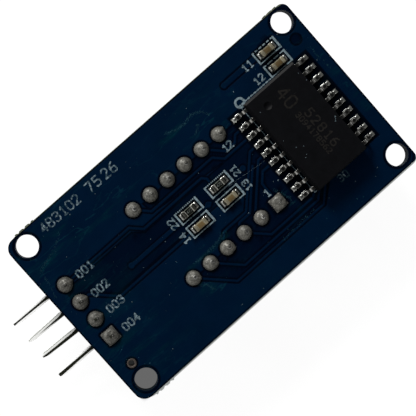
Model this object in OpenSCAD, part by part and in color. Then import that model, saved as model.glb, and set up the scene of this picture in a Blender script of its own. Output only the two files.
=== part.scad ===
// Four-digit seven segment display module, lying on its display face with the solder side up.
// The origin is on the display face, under the middle of the display's solder pads.
// X runs along the digits towards the driver chip, and the header is at the -X end.

/* [Circuit board] */
// Length of the board
board_l = 41.5; // [41:0.1:46]
// Width of the board
board_w = 23.5; // [22.6:0.1:28]
// Thickness of the board
board_t = 1.6; // [1:0.1:2.4]
// Middle of the board from the middle of the display's pads, along Y
board_y = -0.25; // [-0.5:0.05:0.5]
// Corner radius at the header end
header_corner_r = 1.9; // [0.4:0.1:2]
// Corner radius at the chip end
chip_corner_r = 0.9; // [0.4:0.1:2]
// Diameter of the four screw holes
screw_hole_d = 2.6; // [2:0.1:2.8]
// Screw hole middles in from the board's edges
screw_hole_inset = 1.85; // [1.7:0.05:2.1]
// Screw hole pattern off the board's middle, along X
screw_shift_x = 0.2; // [-0.2:0.05:0.2]
// Screw hole pattern off the board's middle, along Y
screw_shift_y = 0.15; // [-0.2:0.05:0.2]
// How far a break-off stub stands proud of the edge
stub_h = 0.12; // [0.05:0.01:0.2]
// Distance between the bites in a break-off stub
stub_pitch = 0.85; // [0.7:0.05:1.1]
// Diameter of a bite in a break-off stub
bite_d = 0.5; // [0.3:0.05:0.6]
// Middle of the two stubs at the header end, in from the board's end
header_stub_inset = 3.1; // [3:0.1:6]
// Middle of the stub at the chip end, in from the board's end
chip_stub_inset = 2; // [1.8:0.1:6]

/* [Display] */
// Gap between the header's block and the display housing
display_gap = 1.28; // [0.6:0.02:1.6]
// Housing past the room of the first and last digit
digit_margin = 0.3; // [0.2:0.05:0.6]
// Housing past a row of its pins
pin_row_margin = 1.92; // [1.6:0.02:2.4]
// Outer wall of the housing round its back recess
display_wall = 1; // [0.7:0.05:1.2]
// Depth of the light shafts, from the face to the inner board
shaft_depth = 5.4; // [4.5:0.1:5.5]
// Narrow end of a light shaft over its wide end
shaft_taper = 0.6; // [0.55:0.05:1]
// Height of a digit
digit_h = 9.14; // [8:0.1:9.6]
// Width of a digit
digit_w = 5; // [4.4:0.1:5.4]
// Distance from one digit to the next
digit_pitch = 7.4; // [7.2:0.05:7.5]
// Lean of the digits, in degrees
digit_lean = 8; // [0:1:10]
// Width of one segment
segment_w = 0.95; // [0.8:0.05:1.1]
// Gap between two segments
segment_gap = 0.16; // [0.1:0.02:0.25]
// Diameter of a colon dot
colon_d = 1.1; // [0.8:0.05:1.3]
// Distance between the two colon dots
colon_pitch = 3.8; // [3:0.1:4.5]
// Thickness of the display's inner board
inner_board_t = 0.8; // [0.6:0.1:1]
// Thickness of the resin on the display's back
back_resin_t = 0.6; // [0.3:0.05:0.7]
// Gap between that resin and the circuit board
back_gap = 0.4; // [0.2:0.05:0.6]
// Play round the inner board in its recess
inner_board_play = 0.1; // [0.05:0.01:0.2]
// Side of a light-emitting chip
die_s = 0.34; // [0.25:0.01:0.4]
// Height of a light-emitting chip
die_h = 0.16; // [0.1:0.01:0.2]

/* [Display pins] */
// Distance between pins in a row
pin_pitch = 2.54; // [2.5:0.01:2.56]
// Distance between the two rows
row_pitch = 10.16; // [10:0.01:10.3]
// Diameter of a display pin
display_pin_d = 0.5; // [0.4:0.01:0.6]
// Room round a display pin in its hole
pin_slack = 0.25; // [0.22:0.01:0.3]
// How far the display sits off its pads, towards the chip
display_shift = 0.2; // [0:0.02:0.2]

/* [Header] */
// Side of a square header pin
header_pin_s = 0.64; // [0.5:0.01:0.66]
// Header holes in from the board's end
header_inset = 2.35; // [1.9:0.05:2.5]
// Middle of the header from the middle of the display's pads, along Y
header_y = 0.05; // [-0.5:0.05:0.5]
// Height and width of the header's plastic block
header_block_s = 2.54; // [2.3:0.02:2.54]
// Bevel between two places of the plastic block
header_bevel = 0.4; // [0.2:0.05:0.6]
// Middle radius of the bend in a header pin
header_bend_r = 0.8; // [0.6:0.05:1]
// Straight length of a header pin past its bend
header_reach = 6.95; // [5:0.05:8]
// Length of the taper at a header pin's tip
header_tip_l = 0.9; // [0.5:0.1:1.5]
// Diameter of a header hole
header_hole_d = 1.1; // [1:0.02:1.2]
// Sideways lean of each header pin, in degrees
header_lean = [1.8, 2, 3.3, 0.7];

/* [Solder joints] */
// Diameter of a header pad
header_pad_d = 1.74; // [1.5:0.02:1.9]
// Diameter of a display pad
display_pad_d = 1.7; // [1.5:0.02:1.9]
// Height of a solder dome
dome_h = 0.62; // [0.4:0.02:0.8]
// How far a pin's tip stands out of its dome
pin_proud = 0.06; // [0.02:0.02:0.3]
// Thickness of the solder film under a part's foot
film_t = 0.06; // [0.04:0.01:0.1]
// Outer diameter of the tinned hole
eyelet_d = 1.1; // [1:0.05:1.4]
// Bore of the tinned hole
eyelet_bore = 0.66; // [0.4:0.02:0.7]
// Diameter of the drilling for the tinned hole
eyelet_drill = 0.8; // [0.76:0.02:0.9]
// Tinned hole in from the board's end
eyelet_inset_x = 2.05; // [1.5:0.05:2.6]
// Tinned hole in from the board's long edge
eyelet_inset_y = 4.4; // [4.1:0.05:4.8]

/* [Driver chip] */
// Length of the chip's body
chip_l = 12.75; // [12.2:0.05:13.2]
// Width of the chip's body
chip_w = 7.4; // [7:0.1:7.8]
// Thickness of the chip's body
chip_t = 2.3; // [1.8:0.1:2.6]
// Gap under the chip's body
chip_lift = 0.1; // [0.05:0.01:0.2]
// How far the body's top draws in from its widest line
chip_draft = 0.22; // [0.05:0.01:0.3]
// Gap between the display's pads and the solder of the chip's leads
chip_gap = 1.17; // [0.6:0.01:1.8]
// Middle of the chip in from the board's end
chip_inset = 7.65; // [7.4:0.05:7.9]
// Middle of the chip from the middle of the display's pads, along Y
chip_y = -0.64; // [-0.7:0.01:-0.5]
// Leads on each side of the chip
lead_count = 10; // [8:1:10]
// Body past the middle of its end leads
lead_end_margin = 0.66; // [0.5:0.01:0.9]
// Width of a lead
lead_w = 0.41; // [0.3:0.01:0.5]
// Thickness of a lead
lead_t = 0.25; // [0.2:0.01:0.3]
// Length of a lead's flat foot
lead_foot_l = 0.56; // [0.4:0.01:0.8]
// Length of a lead inside the body
lead_root = 0.4; // [0.2:0.05:0.8]
// Level stretch of a lead outside the body
lead_shoulder = 0.2; // [0.1:0.02:0.3]
// Middle radius of a lead's bends
lead_bend_r = 0.3; // [0.2:0.02:0.34]
// Angle of a lead's bends
lead_angle = 80; // [70:1:88]
// Solder pad under a lead: its reach past the lead's tip
lead_pad_reach = 0.53; // [0.2:0.01:0.6]
// Solder pad under a lead: its width
lead_pad_w = 0.68; // [0.5:0.02:0.72]
// Diameter of the round mark for the first lead
mark_d = 1; // [0.6:0.05:1.2]
// Depth of the round mark
mark_depth = 0.1; // [0.05:0.01:0.2]
// Round mark in from the body's long side
mark_inset_x = 2; // [1.2:0.1:3]
// Round mark in from the body's end
mark_inset_y = 1.9; // [1.2:0.1:3]

/* [Small parts] */
// Length of a small part
part_l = 1.6; // [1.5:0.05:1.7]
// Width of a small part
part_w = 0.8; // [0.7:0.02:0.9]
// Height of a capacitor
capacitor_h = 0.8; // [0.5:0.05:0.9]
// Height of a resistor
resistor_h = 0.45; // [0.35:0.05:0.6]
// Length of a part's metal end
part_end_l = 0.36; // [0.2:0.02:0.4]
// Thickness of a part's metal end
part_end_t = 0.03; // [0.02:0.01:0.05]
// Reach of a part's solder past its end
part_solder_reach = 0.45; // [0.2:0.05:0.5]
// Share of a part's height that its solder climbs
part_solder_climb = 0.7; // [0.4:0.05:0.8]
// Width of a part's solder pad
part_pad_w = 0.9; // [0.85:0.05:1]
// Middle of the two capacitors by the chip, in from the board's end
supply_inset = 5.1; // [4.9:0.05:5.3]
// Gap between the chip's end and the solder of the nearer of those two
supply_gap = 0.41; // [0.2:0.01:0.8]
// Distance between those two capacitors
supply_pitch = 1.94; // [1.7:0.02:1.96]
// First column of small parts between the display's rows
column_x = -1.79; // [-2.5:0.01:-1.4]
// Distance to the second column
column_pitch = 4.45; // [4:0.05:4.5]
// Row of the two resistors
resistor_y = 0.86; // [0.6:0.02:1.4]
// Distance from the resistors' row down to the capacitors' row
row_step = 1.97; // [1.5:0.01:2.2]

/* [Hidden] */
$fn = 48;

// Small overrun that takes a cutting shape clear of the face it cuts
over = 0.5;

// Counts that the parts come with
digits = 4;
pins_in_row = 6;
header_places = 4;

// The stack behind the display's face, and the heights of the board's two faces
display_h = shaft_depth + inner_board_t + back_resin_t + back_gap;
front_z = display_h;
back_z = front_z + board_t;

// Chip's leads, from the body outwards
lead_pitch = (chip_l - 2 * lead_end_margin) / (lead_count - 1);
lead_level = back_z + chip_lift + chip_t / 2;
lead_foot_z = back_z + film_t + lead_t / 2;
lead_drop = lead_level - lead_foot_z;
lead_slope_l = (lead_drop - 2 * lead_bend_r * (1 - cos(lead_angle))) / sin(lead_angle);
lead_bent_run = 2 * lead_bend_r * sin(lead_angle) + lead_slope_l * cos(lead_angle);
lead_tip_x = chip_w / 2 + lead_shoulder + lead_bent_run + lead_foot_l;

// From the display's pads to the chip, to the board's ends, to the header and to the housing
pads_end_x = pin_pitch * (pins_in_row - 1) / 2 + display_pad_d / 2;
chip_x = pads_end_x + chip_gap + lead_pad_reach + lead_tip_x;
chip_end_x = chip_x + chip_inset;
header_end_x = chip_end_x - board_l;
header_x = header_end_x + header_inset;
display_l = digits * digit_pitch + 2 * digit_margin;
display_w = row_pitch + 2 * pin_row_margin;
display_x = header_x + header_block_s / 2 + display_gap + display_l / 2;

// Board's long edges and its holes
board_x = (header_end_x + chip_end_x) / 2;
upper_edge_y = board_y + board_w / 2;
lower_edge_y = board_y - board_w / 2;
screw_x = board_l / 2 - screw_hole_inset;
screw_y = board_w / 2 - screw_hole_inset;
eyelet_at = [header_end_x + eyelet_inset_x, lower_edge_y + eyelet_inset_y];

// Display
display_hole_d = display_pin_d + 2 * pin_slack;
recess_l = display_l - 2 * display_wall;
recess_w = display_w - 2 * display_wall;
colon_rows = [colon_pitch / 2, -colon_pitch / 2];

// Header
header_block_z = front_z - header_block_s;
header_axis_z = header_block_z - header_bend_r;
header_hole_at = [for (i = [0 : header_places - 1])
    [header_x, header_y + pin_pitch * (header_places - 1) / 2 - i * pin_pitch]];
header_pin_top = back_z + dome_h + pin_proud;

// Small parts
supply_y = chip_y + chip_l / 2 + supply_gap + part_pad_w / 2;
supply_at = [for (i = [1, 0]) [chip_end_x - supply_inset, supply_y + i * supply_pitch]];
capacitor_at = [supply_at[0], supply_at[1],
    [column_x + column_pitch, resistor_y - row_step], [column_x, resistor_y - row_step]];
resistor_at = [[column_x + column_pitch, resistor_y], [column_x, resistor_y]];

// Colours
solder_color = "silver";
lead_color = "lightgray";

// A point of a leaning digit
function leaned(p) = [p.x - p.y * tan(digit_lean), p.y];
// The six corners of a flat segment of length l
function segment_points(l) = let (e = l / 2 - segment_gap, s = segment_w / 2)
    [[-e, 0], [s - e, s], [e - s, s], [e, 0], [e - s, -s], [s - e, -s]];
// The same, standing up
function upright(points) = [for (p = points) [-p.y, p.x]];
// Middle of digit i, counted from the chip's side
function digit_x(i) = display_x + ((digits - 1) / 2 - i) * digit_pitch;
// Where display pin i stands: 1 to 6 along the lower row, 7 to 12 back along the upper row
function display_pad(i) = let (k = i <= pins_in_row ? i - 1 : 2 * pins_in_row - i)
    [pin_pitch * ((pins_in_row - 1) / 2 - k), i <= pins_in_row ? -row_pitch / 2 : row_pitch / 2];
// Radius of the ball that makes a dome of height h over a base of radius r
function ball_r(r, h) = (r * r + h * h) / (2 * h);

span_x = digit_w - segment_w;
span_y = digit_h - segment_w;
// Each segment: its middle, its length, and whether it stands up
segments = [
    [[0, span_y / 2], span_x, false], [[0, 0], span_x, false], [[0, -span_y / 2], span_x, false],
    [[-span_x / 2, span_y / 4], span_y / 2, true], [[span_x / 2, span_y / 4], span_y / 2, true],
    [[-span_x / 2, -span_y / 4], span_y / 2, true], [[span_x / 2, -span_y / 4], span_y / 2, true]
];

// What a square corner loses to a round one
module corner_waste(r) {
    difference() {
        translate([-over, -over]) square(r + over);
        translate([r, r]) circle(r);
    }
}

module board_outline() {
    difference() {
        translate([header_end_x, lower_edge_y]) square([board_l, board_w]);
        translate([header_end_x, lower_edge_y]) corner_waste(header_corner_r);
        translate([header_end_x, upper_edge_y]) mirror([0, 1]) corner_waste(header_corner_r);
        translate([chip_end_x, lower_edge_y]) mirror([1, 0]) corner_waste(chip_corner_r);
        translate([chip_end_x, upper_edge_y]) rotate(180) corner_waste(chip_corner_r);
    }
}

// What is left of a breakaway tab: a low strip along the edge, with a row of n bites in it
module break_stub(n) {
    length = n * stub_pitch;
    difference() {
        translate([-length / 2, -stub_h]) square([length, 2 * stub_h]);
        for (i = [0 : n - 1])
            translate([(i - (n - 1) / 2) * stub_pitch, stub_h + bite_d / 4]) circle(d = bite_d);
    }
}

module stubs() {
    translate([header_end_x + header_stub_inset, upper_edge_y]) break_stub(3);
    translate([chip_end_x - chip_stub_inset, upper_edge_y]) break_stub(2);
    translate([header_end_x + header_stub_inset, lower_edge_y]) mirror([0, 1]) break_stub(3);
}

module screw_holes() {
    for (sx = [-1, 1], sy = [-1, 1])
        translate([board_x + screw_shift_x + sx * screw_x, board_y + screw_shift_y + sy * screw_y])
            circle(d = screw_hole_d);
}

module circuit_board() {
    color("midnightblue") translate([0, 0, front_z]) linear_extrude(board_t) difference() {
        union() {
            board_outline();
            stubs();
        }
        screw_holes();
        for (p = header_hole_at) translate(p) circle(d = header_hole_d);
        for (i = [1 : 2 * pins_in_row]) translate(display_pad(i)) circle(d = display_hole_d);
        translate(eyelet_at) circle(d = eyelet_drill);
    }
}

// A metal lining with a flange on each face of the board
module tinned_hole() {
    flange_t = film_t;
    color(solder_color) translate([eyelet_at.x, eyelet_at.y, front_z]) difference() {
        union() {
            cylinder(d = eyelet_drill, h = board_t);
            translate([0, 0, -flange_t]) cylinder(d = eyelet_d, h = flange_t);
            translate([0, 0, board_t]) cylinder(d = eyelet_d, h = flange_t);
        }
        translate([0, 0, -over]) cylinder(d = eyelet_bore, h = board_t + 2 * over);
    }
}

// A dome of solder over a round pad, standing on z = 0
module round_dome(pad_r) {
    r = ball_r(pad_r, dome_h);
    intersection() {
        translate([0, 0, dome_h - r]) sphere(r);
        cylinder(r = pad_r + over, h = dome_h);
    }
}

// A dome of solder over a square pad as wide as the round ones
module square_dome(pad_r) {
    r = ball_r(pad_r * sqrt(2), dome_h);
    intersection() {
        translate([0, 0, dome_h - r]) sphere(r);
        translate([-pad_r, -pad_r, 0]) cube([2 * pad_r, 2 * pad_r, dome_h]);
    }
}

// Solder of one joint: the dome and what fills the hole, before the pin is taken out
module joint_solder(p, pad_r, hole_d, is_square) {
    translate([p.x, p.y, back_z]) {
        if (is_square) square_dome(pad_r);
        else round_dome(pad_r);
    }
    translate([p.x, p.y, front_z]) cylinder(d = hole_d, h = board_t);
}

// A ring sector from straight down, turned by the angle about (0, r)
module bend(angle, r, t) {
    reach = 3 * (r + t);
    start = -90;
    translate([0, r]) intersection() {
        difference() {
            circle(r + t / 2);
            circle(r - t / 2);
        }
        polygon([[0, 0], for (k = [0 : 2]) let (a = start + k * angle / 2) reach * [cos(a), sin(a)]]);
    }
}

// A header pin's side view: down the leg, round the bend and out along -X
module header_pin_side() {
    s = header_pin_s;
    top_l = header_tip_l / 2;
    leg_top = header_pin_top - top_l;
    bend_x = -header_bend_r;
    translate([-s / 2, header_block_z]) square([s, leg_top - header_block_z]);
    translate([0, leg_top]) polygon([[-s / 2, 0], [s / 2, 0], [s / 5, top_l], [-s / 5, top_l]]);
    translate([bend_x, header_axis_z]) bend(90, header_bend_r, s);
    translate([bend_x - header_reach + header_tip_l, header_axis_z - s / 2])
        square([header_reach - header_tip_l, s]);
    translate([bend_x - header_reach + header_tip_l, header_axis_z])
        polygon([[0, -s / 2], [0, s / 2], [-header_tip_l, s / 4], [-header_tip_l, -s / 4]]);
}

// A header pin's view from above, which narrows at the tip
module header_pin_plan() {
    s = header_pin_s;
    tip_x = -header_bend_r - header_reach;
    polygon([[s, -s / 2], [s, s / 2], [tip_x + header_tip_l, s / 2], [tip_x, s / 4],
        [tip_x, -s / 4], [tip_x + header_tip_l, -s / 2]]);
}

module header_pin_shape(i) {
    translate([header_hole_at[i].x, header_hole_at[i].y, 0]) rotate(-header_lean[i]) intersection() {
        rotate([90, 0, 0]) translate([0, 0, -header_pin_s])
            linear_extrude(2 * header_pin_s) header_pin_side();
        linear_extrude(header_pin_top) header_pin_plan();
    }
}

module header_pin(number) {
    color("dimgray") header_pin_shape(number - 1);
}

// One place of the plastic block, with its four corners bevelled
module header_place() {
    h = header_block_s / 2;
    y = pin_pitch / 2;
    b = header_bevel;
    polygon([[-h, -y + b], [-h + b, -y], [h - b, -y], [h, -y + b],
        [h, y - b], [h - b, y], [-h + b, y], [-h, y - b]]);
}

module header_block() {
    color("black") difference() {
        translate([0, 0, header_block_z]) linear_extrude(header_block_s)
            for (p = header_hole_at) translate(p) header_place();
        for (i = [0 : header_places - 1])
            translate([header_hole_at[i].x, header_hole_at[i].y, header_block_z - over])
                rotate(-header_lean[i]) translate([-header_pin_s / 2, -header_pin_s / 2, 0])
                    cube([header_pin_s, header_pin_s, header_block_s + 2 * over]);
    }
}

module header_solder(number) {
    color(solder_color) difference() {
        joint_solder(header_hole_at[number - 1], header_pad_d / 2, header_hole_d, number == header_places);
        header_pin_shape(number - 1);
    }
}

// A display pin, round, from the inner board to just past its solder, with a chamfered tip
module display_pin(number) {
    p = display_pad(number);
    chamfer = display_pin_d / 5;
    length = back_z + dome_h + pin_proud - shaft_depth;
    color(lead_color) translate([p.x + display_shift, p.y, shaft_depth]) rotate_extrude()
        polygon([[0, 0], [display_pin_d / 2, 0], [display_pin_d / 2, length - chamfer],
            [display_pin_d / 2 - chamfer, length], [0, length]]);
}

module display_solder_row(first) {
    color(solder_color) difference() {
        for (i = [first : first + pins_in_row - 1])
            joint_solder(display_pad(i), display_pad_d / 2, display_hole_d, i == 1);
        for (i = [first : first + pins_in_row - 1])
            translate([display_pad(i).x + display_shift, display_pad(i).y, front_z - over])
                cylinder(d = display_pin_d, h = board_t + dome_h + 2 * over);
    }
}

// A segment's light shaft, which narrows from the face to the inner board
module segment_shaft(s) {
    points = s[2] ? upright(segment_points(s[1])) : segment_points(s[1]);
    translate(leaned(s[0])) linear_extrude(shaft_depth, scale = shaft_taper)
        polygon([for (p = points) leaned(p)]);
}

module digit_shafts(i) {
    translate([digit_x(i), 0, 0]) for (s = segments) segment_shaft(s);
}

module colon_shafts() {
    for (y = colon_rows) let (p = leaned([0, y]))
        translate([display_x + p.x, p.y, 0])
            cylinder(d1 = colon_d, d2 = colon_d * shaft_taper, h = shaft_depth);
}

module die_block(p) {
    translate([p.x - die_s / 2, p.y - die_s / 2, shaft_depth - die_h]) cube([die_s, die_s, die_h]);
}

module digit_dice(i) {
    translate([digit_x(i), 0, 0]) for (s = segments) die_block(leaned(s[0]));
}

module colon_dice() {
    translate([display_x, 0, 0]) for (y = colon_rows) die_block(leaned([0, y]));
}

module display_housing() {
    color("white") difference() {
        translate([display_x - display_l / 2, -display_w / 2, 0]) cube([display_l, display_w, display_h]);
        translate([display_x - recess_l / 2, -recess_w / 2, shaft_depth])
            cube([recess_l, recess_w, display_h - shaft_depth + over]);
        for (i = [0 : digits - 1]) digit_shafts(i);
        colon_shafts();
    }
}

module digit_resin(number) {
    color("gainsboro") difference() {
        digit_shafts(number - 1);
        digit_dice(number - 1);
    }
}

module colon_resin() {
    color("gainsboro") difference() {
        colon_shafts();
        colon_dice();
    }
}

module light_chips() {
    color("gold") {
        for (i = [0 : digits - 1]) digit_dice(i);
        colon_dice();
    }
}

// Holes for the display's pins, through whatever is stacked behind the shafts
module display_pin_holes() {
    for (i = [1 : 2 * pins_in_row])
        translate([display_pad(i).x + display_shift, display_pad(i).y, shaft_depth - over])
            cylinder(d = display_pin_d, h = display_h);
}

module display_inner_board() {
    l = recess_l - 2 * inner_board_play;
    w = recess_w - 2 * inner_board_play;
    color("darkgreen") difference() {
        translate([display_x - l / 2, -w / 2, shaft_depth]) cube([l, w, inner_board_t]);
        display_pin_holes();
    }
}

module display_back_resin() {
    color("dimgray") difference() {
        translate([display_x - recess_l / 2, -recess_w / 2, shaft_depth + inner_board_t])
            cube([recess_l, recess_w, back_resin_t]);
        display_pin_holes();
    }
}

// Section of the chip body across one of its sizes, widest at the level of the leads
module chip_section(width) {
    polygon([for (side = [-1, 1], z = [-1, 0, 1]) let (up = side * z)
        [side * (width / 2 - abs(up) * chip_draft), up * chip_t / 2]]);
}

// One lead's side view, from inside the body to the tip of its foot
module lead_side() {
    root_x = chip_w / 2 - lead_root;
    level_l = lead_root + lead_shoulder;
    translate([root_x, lead_level - lead_t / 2]) square([level_l, lead_t]);
    translate([root_x + level_l, lead_level]) mirror([0, 1]) {
        bend(lead_angle, lead_bend_r, lead_t);
        translate([0, lead_bend_r]) rotate(lead_angle) translate([0, -lead_bend_r]) {
            translate([0, -lead_t / 2]) square([lead_slope_l, lead_t]);
            translate([lead_slope_l, 0]) mirror([0, 1]) {
                bend(lead_angle, lead_bend_r, lead_t);
                translate([0, lead_bend_r]) rotate(lead_angle) translate([0, -lead_bend_r - lead_t / 2])
                    square([lead_foot_l, lead_t]);
            }
        }
    }
}

// Puts a row of flat side views along the chip, each of the given width; side is -1 or 1
module along_chip(side, width) {
    for (i = [0 : lead_count - 1])
        translate([chip_x, chip_y + ((lead_count - 1) / 2 - i) * lead_pitch, 0])
            rotate([90, 0, side > 0 ? 0 : 180])
                translate([0, 0, -width / 2]) linear_extrude(width) children();
}

module chip_body() {
    color([0.12, 0.12, 0.13]) difference() {
        translate([chip_x, chip_y, lead_level]) intersection() {
            rotate([90, 0, 0]) translate([0, 0, -chip_l / 2]) linear_extrude(chip_l) chip_section(chip_w);
            rotate([90, 0, 90]) translate([0, 0, -chip_w / 2]) linear_extrude(chip_w) chip_section(chip_l);
        }
        for (side = [-1, 1]) along_chip(side, lead_w) lead_side();
        translate([chip_x - chip_w / 2 + mark_inset_x, chip_y + chip_l / 2 - mark_inset_y,
            back_z + chip_lift + chip_t - mark_depth])
            cylinder(d = mark_d, h = mark_depth + over);
    }
}

module chip_leads(side) {
    color(lead_color) along_chip(side, lead_w) lead_side();
}

// Solder under a foot, with a hollow slope in front of its tip
module foot_solder_side() {
    heel_x = lead_tip_x - lead_foot_l;
    slope_h = lead_t;
    translate([heel_x, back_z]) square([lead_foot_l + lead_pad_reach, film_t]);
    translate([lead_tip_x, back_z + film_t]) difference() {
        square([lead_pad_reach, slope_h]);
        translate([lead_pad_reach, slope_h]) circle(min(slope_h, lead_pad_reach));
    }
}

module chip_solder(side) {
    color(solder_color) along_chip(side, lead_pad_w) foot_solder_side();
}

// A small part's outer block, resting on its solder film
module part_block(h) {
    translate([-part_l / 2, -part_w / 2, back_z + film_t]) cube([part_l, part_w, h]);
}

// The core that the metal ends are laid on
module part_core(h) {
    t = part_end_t;
    translate([t - part_l / 2, t - part_w / 2, back_z + film_t + t])
        cube([part_l - 2 * t, part_w - 2 * t, h - 2 * t]);
}

module part_ends(p, h) {
    middle_l = part_l - 2 * part_end_l;
    color(lead_color) translate([p.x, p.y, 0]) difference() {
        part_block(h);
        part_core(h);
        translate([-middle_l / 2, -part_w / 2 - over, back_z]) cube([middle_l, part_w + 2 * over, h + over]);
    }
}

module capacitor(number) {
    p = capacitor_at[number - 1];
    color("peru") translate([p.x, p.y, 0]) part_core(capacitor_h);
}

module resistor(number) {
    p = resistor_at[number - 1];
    color([0.1, 0.1, 0.1]) translate([p.x, p.y, 0]) part_core(resistor_h);
}

// Solder at one end of a part: a film under the end and a hollow slope up to it
module end_solder_side(h) {
    inner_x = part_l / 2 - part_end_l;
    slope_h = h * part_solder_climb;
    r = part_solder_reach + slope_h;
    translate([inner_x, back_z]) square([part_end_l + part_solder_reach, film_t]);
    translate([part_l / 2, back_z + film_t]) intersection() {
        polygon([[0, 0], [part_solder_reach, 0], [0, slope_h]]);
        difference() {
            square([part_solder_reach, slope_h]);
            slope_circle(part_solder_reach, slope_h, r);
        }
    }
}

// A circle through (run, 0) and (0, rise) that hollows the slope between them
module slope_circle(run, rise, r) {
    half = norm([run, rise]) / 2;
    away = sqrt(r * r - half * half);
    translate([run / 2, rise / 2] + away * [rise, run] / (2 * half)) circle(r);
}

module part_solder(p, h) {
    for (side = [0, 180])
        translate([p.x, p.y, 0]) rotate(side) rotate([90, 0, 0]) translate([0, 0, -part_pad_w / 2])
            linear_extrude(part_pad_w) end_solder_side(h);
}

module capacitor_solder() {
    color(solder_color) for (p = capacitor_at) part_solder(p, capacitor_h);
}

module resistor_solder() {
    color(solder_color) for (p = resistor_at) part_solder(p, resistor_h);
}

circuit_board();
tinned_hole();
chip_body();
chip_leads(-1);  // chip_leads_inner
chip_leads(1);  // chip_leads_outer
chip_solder(-1);  // chip_solder_inner
chip_solder(1);  // chip_solder_outer
capacitor(1);  // capacitor_1
capacitor(2);  // capacitor_2
capacitor(3);  // capacitor_3
capacitor(4);  // capacitor_4
part_ends(capacitor_at[0], capacitor_h);  // capacitor_1_ends
part_ends(capacitor_at[1], capacitor_h);  // capacitor_2_ends
part_ends(capacitor_at[2], capacitor_h);  // capacitor_3_ends
part_ends(capacitor_at[3], capacitor_h);  // capacitor_4_ends
resistor(1);  // resistor_1
resistor(2);  // resistor_2
part_ends(resistor_at[0], resistor_h);  // resistor_1_ends
part_ends(resistor_at[1], resistor_h);  // resistor_2_ends
capacitor_solder();
resistor_solder();
header_block();
header_pin(1);  // header_pin_1
header_pin(2);  // header_pin_2
header_pin(3);  // header_pin_3
header_pin(4);  // header_pin_4
header_solder(1);  // header_solder_1
header_solder(2);  // header_solder_2
header_solder(3);  // header_solder_3
header_solder(4);  // header_solder_4
display_housing();
digit_resin(1);  // digit_1_resin
digit_resin(2);  // digit_2_resin
digit_resin(3);  // digit_3_resin
digit_resin(4);  // digit_4_resin
colon_resin();
display_inner_board();
light_chips();
display_back_resin();
display_pin(1);  // display_pin_1
display_pin(2);  // display_pin_2
display_pin(3);  // display_pin_3
display_pin(4);  // display_pin_4
display_pin(5);  // display_pin_5
display_pin(6);  // display_pin_6
display_pin(7);  // display_pin_7
display_pin(8);  // display_pin_8
display_pin(9);  // display_pin_9
display_pin(10);  // display_pin_10
display_pin(11);  // display_pin_11
display_pin(12);  // display_pin_12
display_solder_row(1);  // display_solder_lower
display_solder_row(7);  // display_solder_upper
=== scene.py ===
"""Looks of a four-digit seven segment display module, which lies on its display face, solder side up.

Lengths in the classes are in millimetres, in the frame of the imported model. Meshes are made in metres.
"""

import logging
import math
import random
from abc import ABC, abstractmethod
from collections.abc import Callable, Sequence
from dataclasses import dataclass, field
from enum import Enum

import bmesh
import bpy
import numpy as np
from mathutils import Matrix, Vector, noise

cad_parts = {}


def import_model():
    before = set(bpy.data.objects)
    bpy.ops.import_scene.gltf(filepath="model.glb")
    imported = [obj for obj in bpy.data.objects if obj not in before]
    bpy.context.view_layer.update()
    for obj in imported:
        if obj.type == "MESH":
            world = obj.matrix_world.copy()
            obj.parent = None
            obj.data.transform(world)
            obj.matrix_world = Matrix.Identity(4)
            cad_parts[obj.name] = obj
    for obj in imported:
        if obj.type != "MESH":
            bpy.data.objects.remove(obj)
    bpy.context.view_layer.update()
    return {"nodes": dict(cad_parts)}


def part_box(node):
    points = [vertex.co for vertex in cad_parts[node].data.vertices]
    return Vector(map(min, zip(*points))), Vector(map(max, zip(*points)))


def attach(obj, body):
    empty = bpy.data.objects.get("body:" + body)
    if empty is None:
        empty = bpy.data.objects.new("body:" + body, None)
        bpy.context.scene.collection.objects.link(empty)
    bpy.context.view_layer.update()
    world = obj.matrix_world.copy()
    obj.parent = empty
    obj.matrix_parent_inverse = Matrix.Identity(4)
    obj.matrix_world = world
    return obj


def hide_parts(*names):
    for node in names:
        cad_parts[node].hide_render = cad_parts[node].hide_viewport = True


LOG = logging.getLogger("display_module")
MM = 0.001
BODY = "root"
BLACK = (0.0, 0.0, 0.0)
FAR = 9.0
CORNERS = ((0, 0), (1, 0), (1, 1), (0, 1))
SMALL_PARTS = [f"capacitor_{k}" for k in range(1, 5)] + [f"resistor_{k}" for k in range(1, 3)]

Socket = bpy.types.NodeSocket
Thing = bpy.types.Object
Tree = bpy.types.NodeTree
Points = np.ndarray
Field = Callable[[Points], np.ndarray]
Triple = tuple[float, float, float]
Colour = Triple
Spot = tuple[float, float]
Line = tuple[Spot, ...]
Shape = tuple[list, list]


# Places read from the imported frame


@dataclass(frozen=True)
class Box:
    """A CAD node's box, in millimetres."""

    low: Vector
    high: Vector

    @property
    def middle(self) -> Vector:
        """The middle of the box."""
        return (self.low + self.high) / 2

    @property
    def size(self) -> Vector:
        """The box's size."""
        return self.high - self.low


def box_of(node: str) -> Box:
    """The box of a CAD node, in millimetres."""
    low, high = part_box(node)
    return Box(low / MM, high / MM)


# Flat distance fields


def segment_distance(p: Points, a: Sequence[float], b: Sequence[float]) -> np.ndarray:
    """Distance from points to a segment.

    Args:
        p: The points.
        a: One end.
        b: The other end.

    Returns:
        One distance a point.
    """
    start, run = np.array(a, float), np.array(b, float) - np.array(a, float)
    t = np.clip(((p - start) @ run) / max(run @ run, 1e-12), 0, 1)
    return np.hypot(*(p - start - t[:, None] * run).T)


def distance(p: Points, place: Sequence[float]) -> np.ndarray:
    """Distance from points to a place."""
    return np.hypot(p[:, 0] - place[0], p[:, 1] - place[1])


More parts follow.
